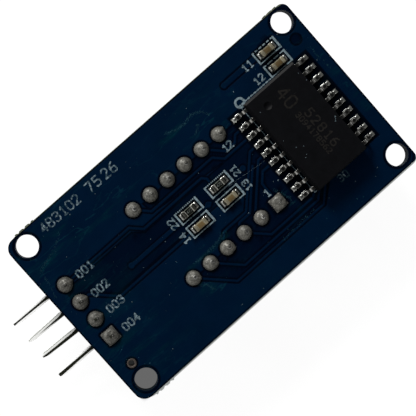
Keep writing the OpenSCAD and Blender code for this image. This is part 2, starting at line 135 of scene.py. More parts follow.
def polygon_inside(p: Points, corners: Sequence[Sequence[float]]) -> np.ndarray:
    """How far points lie inside a polygon.

    Args:
        p: The points.
        corners: The polygon's corners in order.

    Returns:
        Positive inside and negative outside.
    """
    c = np.array(corners, float)
    away = np.full(len(p), 1e9)
    inside = np.zeros(len(p), bool)
    for a, b in zip(c, np.roll(c, -1, 0)):
        away = np.minimum(away, segment_distance(p, a, b))
        crosses = (a[1] > p[:, 1]) != (b[1] > p[:, 1])
        if a[1] != b[1]:
            inside ^= crosses & (p[:, 0] < (b[0] - a[0]) * (p[:, 1] - a[1]) / (b[1] - a[1]) + a[0])
    return np.where(inside, away, -away)


def box_inside(p: Points, middle: Sequence[float], half: Sequence[float], radius: float = 0.0) -> np.ndarray:
    """How far points lie inside a rectangle with rounded corners, positive inside."""
    q = np.abs(p - np.array(middle)) - np.array(half) + radius
    return -(np.hypot(*np.maximum(q, 0).T) + np.minimum(q.max(1), 0) - radius)


def smooth(x: np.ndarray) -> np.ndarray:
    """An S-shaped step from 0 at x = 0 to 1 at x = 1."""
    t = np.clip(x, 0, 1)
    return t * t * (3 - 2 * t)


# Meshes


def new_object(name: str, vertices: Sequence, faces: Sequence, is_smooth: bool = False) -> Thing:
    """A mesh object from millimetre coordinates.

    Args:
        name: The object's name.
        vertices: Coordinates in millimetres.
        faces: Corner numbers of each face.
        is_smooth: Whether its faces are shaded smooth.

    Returns:
        The linked object.
    """
    mesh = bpy.data.meshes.new(name)
    mesh.from_pydata((np.asarray(vertices, float) * MM).tolist(), [], [list(f) for f in faces])
    mesh.polygons.foreach_set("use_smooth", [is_smooth] * len(mesh.polygons))
    mesh.update()
    made = bpy.data.objects.new(name, mesh)
    bpy.context.scene.collection.objects.link(made)
    return made


def add_values(made: Thing, name: str, values: np.ndarray) -> None:
    """Stores one number a vertex under a name that materials read."""
    layer = made.data.attributes.new(name, "FLOAT", "POINT")
    layer.data.foreach_set("value", np.asarray(values, np.float32))


class Soup:
    """Vertices and faces of a piece that is put together from several patches."""

    def __init__(self) -> None:
        """Starts with nothing."""
        self.vertices: list = []
        self.faces: list = []
        self.tones: list[float] = []
        self.darks: list[float] = []

    def add(
        self, vertices: Sequence, faces: Sequence, tone: float = 0.5, dark: Sequence[float] | float = 0.0
    ) -> None:
        """Adds a patch.

        Args:
            vertices: Its coordinates.
            faces: Its faces, numbered from 0.
            tone: A value from 0 to 1 that its material may read.
            dark: How far its colour goes to black, for the patch or for each vertex.
        """
        start = len(self.vertices)
        self.vertices.extend([tuple(v) for v in vertices])
        self.faces.extend([[start + k for k in f] for f in faces])
        self.tones.extend([tone] * len(vertices))
        self.darks.extend(np.broadcast_to(dark, len(vertices)).tolist())

    def finish(self, name: str, is_smooth: bool = True) -> Thing:
        """Makes the object.

        Args:
            name: Its name.
            is_smooth: Whether it is shaded smooth.

        Returns:
            The object, with its tones and darks as the attributes "tone" and "dark".
        """
        made = new_object(name, self.vertices, self.faces, is_smooth)
        add_values(made, "tone", np.array(self.tones))
        add_values(made, "dark", np.array(self.darks))
        return made


@dataclass
class Sheet:
    """A thin printed or coated layer, meshed finely along its edges and coarsely elsewhere."""

    inside: Field
    height: Field
    low: Spot
    high: Spot
    coarse: float = 0.8
    levels: int = 4
    band: float = 0.0
    edges: Field | None = None
    skirt: float = 0.03

    def _cells(self) -> list[tuple[np.ndarray, int]]:
        """Square cells of the sheet, as lowest corners and sizes in units of the finest cell.

        Returns:
            Groups of cells: their lowest corners, and their size.
        """
        unit, full = self.coarse / 2**self.levels, 2**self.levels
        count = [math.ceil((h - l) / self.coarse) for l, h in zip(self.low, self.high)]
        cells = np.array([(i * full, j * full) for i in range(count[0]) for j in range(count[1])])
        kept = []
        for level in range(self.levels + 1):
            size = 2 ** (self.levels - level)
            middle = (cells + size / 2) * unit + np.array(self.low)
            reach = size * unit * 0.75
            depth = self.inside(middle)
            alive = depth > -reach
            near = np.abs(depth) < reach
            if self.edges is not None:
                near |= self.edges(middle) < reach + self.band
            if level == self.levels:
                kept.append((cells[alive], size))
                break
            split = cells[alive & near]
            kept.append((cells[alive & ~near], size))
            cells = np.concatenate([split + np.array(o) * (size // 2) for o in CORNERS])
        return kept

    def _snapped(self, p: Points) -> tuple[Points, np.ndarray]:
        """Points moved onto the sheet's rim where they lay outside, and which ones moved.

        Args:
            p: The points.

        Returns:
            The points, and which ones moved.
        """
        depth = self.inside(p)
        moved = depth < 0
        q = p[moved]
        for _ in range(3):
            d, e = self.inside(q), 1e-3
            slope = np.stack([(self.inside(q + step) - d) / e for step in ([e, 0], [0, e])], 1)
            q = q - slope * (d / np.maximum((slope**2).sum(1), 0.25))[:, None]
        p = p.copy()
        p[moved] = q
        return p, moved

    def mesh(self) -> tuple[Points, np.ndarray, list]:
        """Builds the sheet.

        Returns:
            Its flat points, its heights and its faces, the skirt's among them.
        """
        unit = self.coarse / 2**self.levels
        corners = []
        for cells, size in self._cells():
            if len(cells):
                corners.append(np.stack([cells + np.array(o) * size for o in CORNERS], 1))
        quads = np.concatenate(corners)
        flat, index = np.unique(quads.reshape(-1, 2), axis=0, return_inverse=True)
        faces = index.reshape(-1, 4)
        p = flat * unit + np.array(self.low)
        outside = self.inside(p) < 0
        faces = faces[~outside[faces].all(1)]
        used, renumbered = np.unique(faces, return_inverse=True)
        faces = renumbered.reshape(-1, 4)
        p, moved = self._snapped(p[used])
        z = self.height(p)
        rim = moved[faces] & moved[np.roll(faces, -1, 1)]
        pairs = np.stack([faces, np.roll(faces, -1, 1)], -1)[rim]
        keys = {}
        for a, b in pairs:
            keys.setdefault((min(a, b), max(a, b)), []).append((a, b))
        walls, low_of, more = [], {}, []
        for found in keys.values():
            if len(found) == 1:
                a, b = found[0]
                for k in (a, b):
                    if k not in low_of:
                        low_of[k] = len(p) + len(more)
                        more.append(k)
                walls.append([a, low_of[a], low_of[b], b])
        if more:
            z = np.concatenate([z, z[more] - self.skirt])
            p = np.concatenate([p, p[more]])
        return p, z, [list(f) for f in faces] + walls

    def build(self, name: str) -> tuple[Thing, Points]:
        """Makes the sheet's object, and returns its flat points with it."""
        p, z, faces = self.mesh()
        return new_object(name, np.column_stack([p, z]), faces), p


def read_out(made: bmesh.types.BMesh) -> Shape:
    """Reads a finished bmesh and frees it.

    Args:
        made: The bmesh.

    Returns:
        Its vertices and faces.
    """
    made.verts.index_update()
    vertices = [tuple(v.co) for v in made.verts]
    faces = [[v.index for v in f.verts] for f in made.faces]
    made.free()
    return vertices, faces


def loft(rings: Sequence[Sequence], has_end: bool = True) -> Shape:
    """A body drawn out through rings of points: the first is filled and extruded to each next one.

    Args:
        rings: The rings, with the same number of points in each.
        has_end: Whether the last ring stays filled.

    Returns:
        Vertices and faces.
    """
    made = bmesh.new()
    face = made.faces.new([made.verts.new(point) for point in rings[0]])
    for ring in rings[1:]:
        grown = bmesh.ops.extrude_face_region(made, geom=[face, *face.edges])["geom"]
        corners = [part for part in grown if isinstance(part, bmesh.types.BMVert)]
        face = next(part for part in grown if isinstance(part, bmesh.types.BMFace))
        for corner, point in zip(corners, ring):
            corner.co = point
    bmesh.ops.recalc_face_normals(made, faces=made.faces[:])
    if not has_end:
        bmesh.ops.delete(made, geom=[face], context="FACES_ONLY")
    return read_out(made)


def sweep(path: Sequence[Vector], side: Vector, sections: Sequence[Sequence[Spot]]) -> Shape:
    """A closed tube along a flat path.

    Args:
        path: Its points.
        side: The direction that stays level across the path.
        sections: At each point, the outline as (across, up) pairs.

    Returns:
        Vertices and faces.
    """
    rings = []
    for k, point in enumerate(path):
        run = (path[min(k + 1, len(path) - 1)] - path[max(k - 1, 0)]).normalized()
        up = side.cross(run).normalized()
        rings.append([point + side * a + up * b for a, b in sections[k]])
    return loft(rings)


def spun(profile: Sequence[Spot], steps: int, is_closed: bool = False) -> Shape:
    """A profile spun once round Z.

    Args:
        profile: Its points as (radius, height) pairs.
        steps: Steps in the full turn.
        is_closed: Whether its last point joins its first.

    Returns:
        Vertices and faces.
    """
    made = bmesh.new()
    points = [made.verts.new((radius, 0.0, height)) for radius, height in profile]
    ends = points[1:] + points[:1] if is_closed else points[1:]
    lines = [made.edges.new(pair) for pair in zip(points, ends)]
    bmesh.ops.spin(made, geom=points + lines, axis=(0, 0, 1), angle=math.tau, steps=steps, use_merge=True)
    bmesh.ops.remove_doubles(made, verts=made.verts[:], dist=1e-6)
    return read_out(made)


def rounded_outline(width: float, height: float, radius: float, steps: int = 3) -> list[Spot]:
    """The outline of a rectangle with rounded corners, counter-clockwise.

    Args:
        width: Its width.
        height: Its height.
        radius: Its corner radius.
        steps: Pieces in each corner.

    Returns:
        Its points.
    """
    half_x, half_y = width / 2 - radius, height / 2 - radius
    made = []
    for turn, (sx, sy) in enumerate(((1, 1), (-1, 1), (-1, -1), (1, -1))):
        for k in range(steps + 1):
            a = (turn + k / steps) * math.pi / 2
            made.append((sx * half_x + radius * math.cos(a), sy * half_y + radius * math.sin(a)))
    return made


def rounded_block(low: Sequence[float], high: Sequence[float], radius: float) -> Shape:
    """A block with rounded edges.

    Args:
        low: Its lowest corner.
        high: Its highest corner.
        radius: Edge radius.

    Returns:
        Vertices and faces.
    """
    made = bmesh.new()
    bmesh.ops.create_cube(made, size=1.0)
    size, middle = Vector(high) - Vector(low), (Vector(high) + Vector(low)) / 2
    bmesh.ops.scale(made, vec=size, verts=made.verts)
    bmesh.ops.translate(made, vec=middle, verts=made.verts)
    bmesh.ops.bevel(
        made, geom=made.edges[:], offset=radius, affect="EDGES", segments=3, profile=0.5, material=-1,
        clamp_overlap=True,
    )
    return read_out(made)


# Shader graphs


class Graph:
    """Adds and links the nodes of one material, group or world."""

    def __init__(self, tree: Tree) -> None:
        """Takes the tree to fill."""
        self.tree = tree

    def add(self, kind: str, inputs: dict | None = None, **settings: object) -> bpy.types.Node:
        """Adds a node.

        Args:
            kind: Its type, without the leading ShaderNode.
            inputs: Values or sockets for its inputs, by name or number.
            **settings: Its own settings.

        Returns:
            The node.
        """
        made = self.tree.nodes.new(kind if kind.startswith("Node") else "ShaderNode" + kind)
        for key, value in settings.items():
            setattr(made, key, value)
        for key, value in (inputs or {}).items():
            self.feed(made.inputs[key], value)
        return made

    def feed(self, socket: Socket, value: object) -> None:
        """Sets an input, or links a socket to it.

        Args:
            socket: The input.
            value: A value or an output socket.
        """
        if isinstance(value, Socket):
            self.tree.links.new(value, socket)
        elif isinstance(value, tuple) and len(value) == 3 and socket.type == "RGBA":
            socket.default_value = (*value, 1.0)
        else:
            socket.default_value = value

    def math(self, kind: str, a: object, b: object = 0.0, c: object = 0.0) -> Socket:
        """A Math node's result."""
        return self.add("Math", {0: a, 1: b, 2: c}, operation=kind).outputs[0]

    def times(self, a: object, b: object) -> Socket:
        """The product of two values."""
        return self.math("MULTIPLY", a, b)

    def spread(
        self, value: object, low: float, high: float, to_low: float = 0.0, to_high: float = 1.0
    ) -> Socket:
        """Maps a value from one range to another, clamped."""
        return self.add("MapRange", {0: value, 1: low, 2: high, 3: to_low, 4: to_high}).outputs[0]

    def mix(self, share: object, a: object, b: object, blend: str = "MIX") -> Socket:
        """Mixes two colours.

        Args:
            share: How much of the second.
            a: The first colour.
            b: The second colour.
            blend: How they are blended.

        Returns:
            The mixed colour.
        """
        made = self.add("Mix", data_type="RGBA", blend_type=blend)
        for k, value in ((0, share), (6, a), (7, b)):
            self.feed(made.inputs[k], value)
        return made.outputs[2]

    def noise(self, where: object, scale: float, detail: float = 3.0, rough: float = 0.5) -> Socket:
        """A noise value, with its scale given in waves a metre."""
        inputs = {"Vector": where, "Scale": scale, "Detail": detail, "Roughness": rough}
        return self.add("TexNoise", inputs).outputs[0]

    def cells(self, where: object, scale: float) -> Socket:
        """Distance to the nearest of a scatter of points."""
        return self.add("TexVoronoi", {"Vector": where, "Scale": scale}).outputs["Distance"]

    def grey(self, value: object) -> Socket:
        """A grey colour."""
        return self.add("CombineColor", {0: value, 1: value, 2: value}).outputs[0]

    def place(self) -> Socket:
        """The point's place on the object."""
        return self.add("TexCoord").outputs["Object"]

    def parts(self, vector: object) -> bpy.types.NodeOutputs:
        """The X, Y and Z of a vector."""
        return self.add("SeparateXYZ", {0: vector}).outputs

    def facing(self, axis: str) -> Socket:
        """How far the surface faces along an axis, from -1 to 1."""
        return self.parts(self.add("NewGeometry").outputs["Normal"])[axis]

    def value_of(self, name: str) -> Socket:
        """A number stored on the mesh."""
        return self.add("Attribute", attribute_name=name).outputs["Fac"]

    def bump(self, height: object, strength: float, distance: float) -> Socket:
        """A normal bent by a height, with distance in metres."""
        return self.add("Bump", {"Height": height, "Strength": strength, "Distance": distance}).outputs[0]

    def group(self, tree: Tree, inputs: dict) -> bpy.types.Node:
        """Adds a shared group."""
        return self.add("Group", inputs, node_tree=tree)


class SharedEffects:
    """Node groups that several finishes use."""

    def __init__(self) -> None:
        """Makes the groups."""
        self.mottle = self._mottle()
        self.dust = self._dust()

    @staticmethod
    def _new(name: str, inputs: Sequence[str], outputs: Sequence[str]) -> tuple[Graph, dict, bpy.types.Node]:
        """An empty group with named sockets: colours, a vector, and numbers.

        Args:
            name: Its name.
            inputs: Names of its inputs.
            outputs: Names of its outputs.

        Returns:
            Its graph, its inputs' sockets by name, and the node that takes its outputs.
        """
        kinds = {"Colour": "NodeSocketColor", "Dust": "NodeSocketColor", "Vector": "NodeSocketVector"}
        graph = Graph(bpy.data.node_groups.new(name, "ShaderNodeTree"))
        for in_out, sockets in (("INPUT", inputs), ("OUTPUT", outputs)):
            for key in sockets:
                kind = kinds.get(key, "NodeSocketFloat")
                graph.tree.interface.new_socket(name=key, in_out=in_out, socket_type=kind)
        start = graph.add("NodeGroupInput").outputs
        return graph, {key: start[key] for key in inputs}, graph.add("NodeGroupOutput")

    def _mottle(self) -> Tree:
        """Uneven tone in two sizes, as a colour multiplied from Low to High.

        Returns:
            The group.
        """
        names = ("Vector", "Colour", "Scale", "Low", "High")
        g, given, end = self._new("Mottle", names, ("Colour", "Tone"))
        broad = g.noise(given["Vector"], given["Scale"], 2.0)
        fine = g.noise(given["Vector"], g.times(given["Scale"], 4.3), 4.0)
        tone = g.spread(g.math("MULTIPLY_ADD", broad, 0.65, g.times(fine, 0.35)), 0.32, 0.68)
        span = g.math("SUBTRACT", given["High"], given["Low"])
        shade = g.math("MULTIPLY_ADD", span, tone, given["Low"])
        g.feed(end.inputs["Colour"], g.mix(1.0, given["Colour"], g.grey(shade), "MULTIPLY"))
        g.feed(end.inputs["Tone"], tone)
        return g.tree

    def _dust(self) -> Tree:
        """Pale specks laid over a colour.

        Returns:
            The group.
        """
        names = ("Vector", "Colour", "Dust", "Scale", "Amount")
        g, given, end = self._new("Dust", names, ("Colour",))
        patch = g.noise(given["Vector"], 260.0, 2.0)
        size = g.times(g.spread(patch, 0.45, 0.75, 0.02, 0.16), given["Amount"])
        is_near = g.math("LESS_THAN", g.cells(given["Vector"], given["Scale"]), size)
        speck = g.times(is_near, g.spread(patch, 0.4, 0.7, 0.25, 0.9))
        g.feed(end.inputs["Colour"], g.mix(speck, given["Colour"], given["Dust"]))
        return g.tree


class SurfaceGraph(Graph):
    """The graph of one material, round its Principled shader."""

    def __init__(self, tree: Tree, effects: SharedEffects) -> None:
        """Puts the shader and the point's place in the tree.

        Args:
            tree: The material's tree.
            effects: The shared node groups.
        """
        super().__init__(tree)
        self._effects = effects
        self._shader = self.add("BsdfPrincipled")
        self.where = self.place()
        self.feed(self.add("OutputMaterial").inputs["Surface"], self._shader.outputs[0])

    def colour(self, value: object) -> None:
        """Feeds the base colour."""
        self.feed(self._shader.inputs["Base Color"], value)

    def rough(self, value: object, low: float, high: float, to_low: float, to_high: float) -> None:
        """Feeds the roughness, mapped from a value's range."""
        self.feed(self._shader.inputs["Roughness"], self.spread(value, low, high, to_low, to_high))

    def emboss(self, height: object, strength: float, distance: float) -> None:
        """Bends the normal by a height."""
        self.feed(self._shader.inputs["Normal"], self.bump(height, strength, distance))

    def constant(self, name: str, value: float) -> None:
        """Sets one of the shader's inputs."""
        self._shader.inputs[name].default_value = value

    def mottled(self, colour: object, scale: float, low: float, high: float) -> Socket:
        """Makes a colour uneven."""
        inputs = {"Vector": self.where, "Colour": colour, "Scale": scale, "Low": low, "High": high}
        return self.group(self._effects.mottle, inputs).outputs["Colour"]

    def dusted(self, colour: object, dust: Colour, scale: float, amount: float) -> Socket:
        """Lays specks over a colour."""
        inputs = {"Vector": self.where, "Colour": colour, "Dust": dust, "Scale": scale, "Amount": amount}
        return self.group(self._effects.dust, inputs).outputs["Colour"]


@dataclass(frozen=True)
class Finish(ABC):
    """A surface's material, and the slot that it fills."""

    name: str
    slot: str

    def build(self, effects: SharedEffects) -> bpy.types.Material:
        """Makes the material.

        Args:
            effects: The shared node groups.

        Returns:
            The material.
        """
        made = bpy.data.materials.new(self.name)
        made.use_nodes = True
        made.node_tree.nodes.clear()
        self.paint(SurfaceGraph(made.node_tree, effects))
        return made

    @abstractmethod
    def paint(self, g: SurfaceGraph) -> None:
        """Feeds the shader.

        Args:
            g: The material's graph.
        """


@dataclass(frozen=True)
class MaskFinish(Finish):
    """Dark blue solder mask, paler over copper, with painted shade between the chip's leads, along copper
    edges, round pads and under the small parts.
    """

    copper: Colour = (0.0, 0.0060, 0.0200)
    bare: Colour = (0.0, 0.0028, 0.0108)
    # The colour of the painted shade.
    shade: Colour = (0.0, 0.0004, 0.0022)
    bloom: Colour = (0.0, 0.0190, 0.0250)
    tide: Colour = (0.008, 0.074, 0.090)
    dust: Colour = (0.03, 0.085, 0.105)
    smear_turn: Triple = (0.0, 0.0, 0.5)
    smear_stretch: Triple = (0.35, 1.6, 1.0)

    def paint(self, g: SurfaceGraph) -> None:
        """Mixes the copper's and the bare board's tone, the painted shade, a pale bloom and dust.

        Args:
            g: The material's graph.
        """
        colour = g.mix(g.value_of("copper"), self.bare, self.copper)
        # The attribute read here is painted shade: between the chip's leads, along copper edges, round pads
        # and under the small parts.
        colour = g.mix(g.value_of("painted_shade"), colour, self.shade)
        film = g.value_of("bloom")
        turned = {"Vector": g.where, "Rotation": self.smear_turn, "Scale": self.smear_stretch}
        smear = g.add("Mapping", turned).outputs[0]
        streak = g.spread(g.noise(smear, 420.0, 5.0, 0.62), 0.50, 0.78)
        colour = g.mix(g.times(streak, film), colour, self.bloom)
        contour = g.math("ABSOLUTE", g.math("SUBTRACT", g.noise(smear, 300.0, 4.0, 0.55), 0.5))
        tide = g.times(g.spread(contour, 0.0, 0.012, 1.0, 0.0), film)
        grains = g.spread(g.noise(g.where, 5200.0, 2.0), 0.58, 0.68)
        crumbs = g.times(g.times(grains, g.spread(streak, 0.2, 0.9)), film)
        marks = g.math("MULTIPLY_ADD", crumbs, 0.35, g.times(tide, 0.22))
        mottle = g.mottled(g.mix(marks, colour, self.tide), 330.0, 0.90, 1.10)
        g.colour(g.dusted(mottle, self.dust, 1500.0, 0.55))
        g.rough(mottle.node.outputs["Tone"], 0.0, 1.0, 0.42, 0.54)
        g.constant("Specular IOR Level", 0.015)
        g.emboss(g.noise(g.where, 1300.0, 3.0), 0.25, 0.00003)


@dataclass(frozen=True)
class BoardFinish(Finish):
    """Bare board: woven glass at its cut edges, dark mask on its two faces."""

    weave: Colour = (0.14, 0.132, 0.095)
    resin: Colour = (0.085, 0.075, 0.04)
    tuft: Colour = (0.26, 0.24, 0.16)
    face: Colour = (0.0006, 0.0035, 0.0120)
    pale_rim: Colour = (0.34, 0.36, 0.35)
    olive: Colour = (0.10, 0.115, 0.080)
    screw_wall_tone: Colour = (0.004, 0.008, 0.012)
    rim_middle: float = -0.25
    rim_half: float = 11.64
    screws: tuple[float, float, float, float] = (1.151, -0.1, 18.9, 9.9)
    screw_reach: float = 1.45

    def paint(self, g: SurfaceGraph) -> None:
        """Lays glass plies along the edge and mask on the faces.

        Args:
            g: The material's graph.
        """
        parts = g.parts(g.where)
        wave = {"Vector": g.where, "Scale": 1150.0, "Distortion": 1.4, "Detail": 2.0}
        plies = g.add("TexWave", wave, bands_direction="Z").outputs["Fac"]
        drawn = g.add("Mapping", {"Vector": g.where, "Scale": (1.0, 1.0, 3.0)}).outputs[0]
        tufts = g.noise(drawn, 2600.0, 3.0)
        edge = g.mix(plies, self.resin, self.weave)
        edge = g.mix(g.spread(tufts, 0.55, 0.75, 0.0, 0.5), edge, self.tuft)
        # The screw holes' walls are coloured near black.
        edge = g.mix(self._near_screw(g, parts), edge, self.screw_wall_tone)
        y = g.math("SUBTRACT", parts["Y"], self.rim_middle * MM)
        torn = g.math("MULTIPLY_ADD", tufts, 0.00012, g.math("ABSOLUTE", y))
        bare = g.math("GREATER_THAN", torn, self.rim_half * MM)
        # Where the mask stops short of the long edges, the face shows a pale strip along -Y and an olive
        # strip along +Y.
        rim_tone = g.mix(g.math("GREATER_THAN", y, 0.0), self.pale_rim, self.olive)
        face = g.mix(bare, g.mottled(self.face, 300.0, 0.85, 1.15), rim_tone)
        is_level = g.math("GREATER_THAN", g.math("ABSOLUTE", g.facing("Z")), 0.7)
        g.colour(g.mix(is_level, edge, face))
        g.rough(parts["X"], -0.02, 0.02, 0.50, 0.56)
        g.constant("Specular IOR Level", 0.02)
        g.emboss(tufts, 0.4, 0.00002)

    def _near_screw(self, g: SurfaceGraph, parts: bpy.types.NodeOutputs) -> Socket:
        """Whether a point lies on a screw hole's wall.

        Args:
            g: The material's graph.
            parts: The X, Y and Z of the point's place.

        Returns:
            1 on the four walls and 0 elsewhere.
        """
        x, y, half_x, half_y = (value * MM for value in self.screws)
        gaps = []
        for socket, middle, half in ((parts["X"], x, half_x), (parts["Y"], y, half_y)):
            folded = g.math("ABSOLUTE", g.math("SUBTRACT", socket, middle))
            gaps.append(g.math("SUBTRACT", folded, half))
        square = g.math("MULTIPLY_ADD", gaps[0], gaps[0], g.times(gaps[1], gaps[1]))
        return g.math("LESS_THAN", g.math("SQRT", square), self.screw_reach * MM)


@dataclass(frozen=True)
class InkFinish(Finish):
    """Printed ink with an uneven coat."""

    ink: Colour = (0.185, 0.245, 0.272)
    thin: Colour = (0.062, 0.096, 0.112)
    faded: Colour = (0.004, 0.019, 0.034)
    grain: float = 3600.0
    cover: float = 0.44

    def paint(self, g: SurfaceGraph) -> None:
        """Thins the ink in small patches.

        Args:
            g: The material's graph.
        """
        patch = g.noise(g.where, self.grain, 3.0, 0.6)
        fade = g.value_of("fade")
        worn = g.math("SUBTRACT", patch, g.times(fade, 0.2))
        thin = g.mix(g.math("POWER", fade, 0.6), self.thin, self.faded)
        colour = g.mix(g.spread(worn, self.cover - 0.1, self.cover + 0.1), thin, self.ink)
        g.colour(g.mottled(colour, 900.0, 0.85, 1.12))
        g.constant("Roughness", 0.7)
        g.constant("Specular IOR Level", 0.05)
        g.emboss(patch, 0.5, 0.00002)


@dataclass(frozen=True)
class MetalFinish(Finish):
    """Solder, tin or steel, with a clouded skin."""

    bright: Colour
    dull: Colour
    metallic: float = 1.0
    cloud: float = 2400.0
    roughness: Spot = (0.38, 0.62)
    relief: float = 0.00003
    speckle: float = 0.0
    speck: Colour = (0.03, 0.03, 0.032)

    def paint(self, g: SurfaceGraph) -> None:
        """Clouds the metal in two sizes, adds dark specks, and darkens it by the mesh's dark values, which
        carry painted reflection along the chip's leads and painted shade on their solder.

        Args:
            g: The material's graph.
        """
        shift = g.times(g.value_of("tone"), 0.05)
        step = g.add("CombineXYZ", {0: shift, 1: shift}).outputs[0]
        moved = g.add("VectorMath", {0: g.where, 1: step}, operation="ADD").outputs[0]
        cloud = g.noise(moved, self.cloud, 4.0, 0.6)
        share = g.spread(cloud, 0.36, 0.64)
        specks = g.math("LESS_THAN", g.noise(moved, self.cloud * 5.0, 2.0), 0.30 + 0.13 * self.speckle)
        colour = g.mix(share, self.dull, self.bright)
        colour = g.mix(g.times(specks, 0.75), colour, self.speck)
        colour = g.mottled(colour, 520.0, 0.85, 1.15)
        # Dark values: painted reflection along the chip's leads, painted shade on their solder, and rings
        # round the pins of the through-hole joints.
        g.colour(g.mix(g.value_of("dark"), colour, BLACK))
        g.rough(share, 0.0, 1.0, self.roughness[1], self.roughness[0])
        g.constant("Metallic", self.metallic)
        fine = g.noise(moved, self.cloud * 3.0, 3.0, 0.6)
        g.emboss(g.math("MULTIPLY_ADD", fine, 0.4, cloud), 0.6, self.relief)


@dataclass(frozen=True)
class PlasticFinish(Finish):
    """Moulded plastic, resin or ceramic with a fine grain."""

    tone: Colour
    tones: Spot = (0.85, 1.15)
    grain: float = 9000.0
    relief: float = 0.00001
    roughness: float = 0.6
    gloss: float = 0.2
    dust: float = 0.0
    dust_tone: Colour = (0.09, 0.09, 0.085)
    # Colour of sides facing +Y, towards the lamp: a painted highlight.
    painted_lit_flank: Colour | None = None

    def paint(self, g: SurfaceGraph) -> None:
        """Gives the plastic an uneven tone, grain and a little dust, and paints sides that face +Y lighter as
        a painted highlight.

        Args:
            g: The material's graph.
        """
        colour = g.mottled(self.tone, self.grain / 9, *self.tones)
        colour = g.dusted(colour, self.dust_tone, 2200.0, self.dust)
        # Sides facing +Y are painted lighter: a painted highlight.
        if self.painted_lit_flank:
            colour = g.mix(g.spread(g.facing("Y"), 0.2, 0.9), colour, self.painted_lit_flank)
        g.colour(g.mix(g.value_of("dark"), colour, BLACK))
        grain = g.noise(g.where, self.grain, 3.0, 0.65)
        g.rough(grain, 0.3, 0.7, self.roughness - 0.06, self.roughness + 0.08)
        g.constant("Specular IOR Level", self.gloss)
        g.emboss(grain, 0.6, self.relief)


@dataclass(frozen=True)
class PinFinish(Finish):
    """Tin painted near-white as a painted reflection, with a painted dark reflection streak along its length.
    """

    # bright is a painted reflection, rim a painted edge shade, and streak the painted dark reflection and
    # shadow of the board.
    bright: Colour = (1.0, 1.0, 0.985)
    rim: Colour = (0.26, 0.28, 0.23)
    streak: Colour = (0.0075, 0.0085, 0.0035)

    def paint(self, g: SurfaceGraph) -> None:
        """Lays the painted streak where the mesh says, with an uneven border, and a grey painted edge shade
        on the pins whose tone is high.

        Args:
            g: The material's graph.
        """
        uneven = g.noise(g.where, 900.0, 3.0)
        border = g.math("MULTIPLY_ADD", g.math("SUBTRACT", uneven, 0.5), 0.03, g.value_of("streak"))
        line = g.spread(g.math("ABSOLUTE", g.math("ADD", border, 0.24)), 0.02, 0.055, 1.0, 0.0)
        # Painted edge shade: a grey band beside the streak and a thin grey line just beyond it.
        painted_edge_shade = g.math("MAXIMUM", line, g.spread(border, -0.25, -0.22, 0.0, 0.22))
        pale = g.mix(g.times(g.value_of("tone"), painted_edge_shade), self.bright, self.rim)
        pale = g.mottled(pale, 700.0, 0.96, 1.03)
        g.colour(g.mix(g.spread(border, -0.02, 0.03), pale, self.streak))
        g.rough(uneven, 0.3, 0.7, 0.4, 0.55)
        g.constant("Specular IOR Level", 0.15)
        g.emboss(uneven, 0.3, 0.000003)


@dataclass(frozen=True)
class HousingFinish(Finish):
    """Pale moulded housing with a black printed face."""

    side: Colour = (0.55, 0.55, 0.53)
    face: Colour = (0.012, 0.012, 0.013)
    lap: float = 0.42

    def paint(self, g: SurfaceGraph) -> None:
        """Prints the face black and grains the rest.

        Args:
            g: The material's graph.
        """
        side = g.mottled(self.side, 500.0, 0.9, 1.06)
        is_face = g.math("LESS_THAN", g.facing("Z"), -0.7)
        height = g.math("MULTIPLY_ADD", g.noise(g.where, 2400.0), 0.0003, g.parts(g.where)["Z"])
        laps = g.math("LESS_THAN", height, self.lap * MM)
        g.colour(g.mix(g.math("MAXIMUM", is_face, laps), side, self.face))
        grain = g.noise(g.where, 7000.0, 3.0, 0.6)
        g.rough(grain, 0.3, 0.7, 0.48, 0.6)
        g.constant("Specular IOR Level", 0.3)
        g.emboss(grain, 0.5, 0.000015)


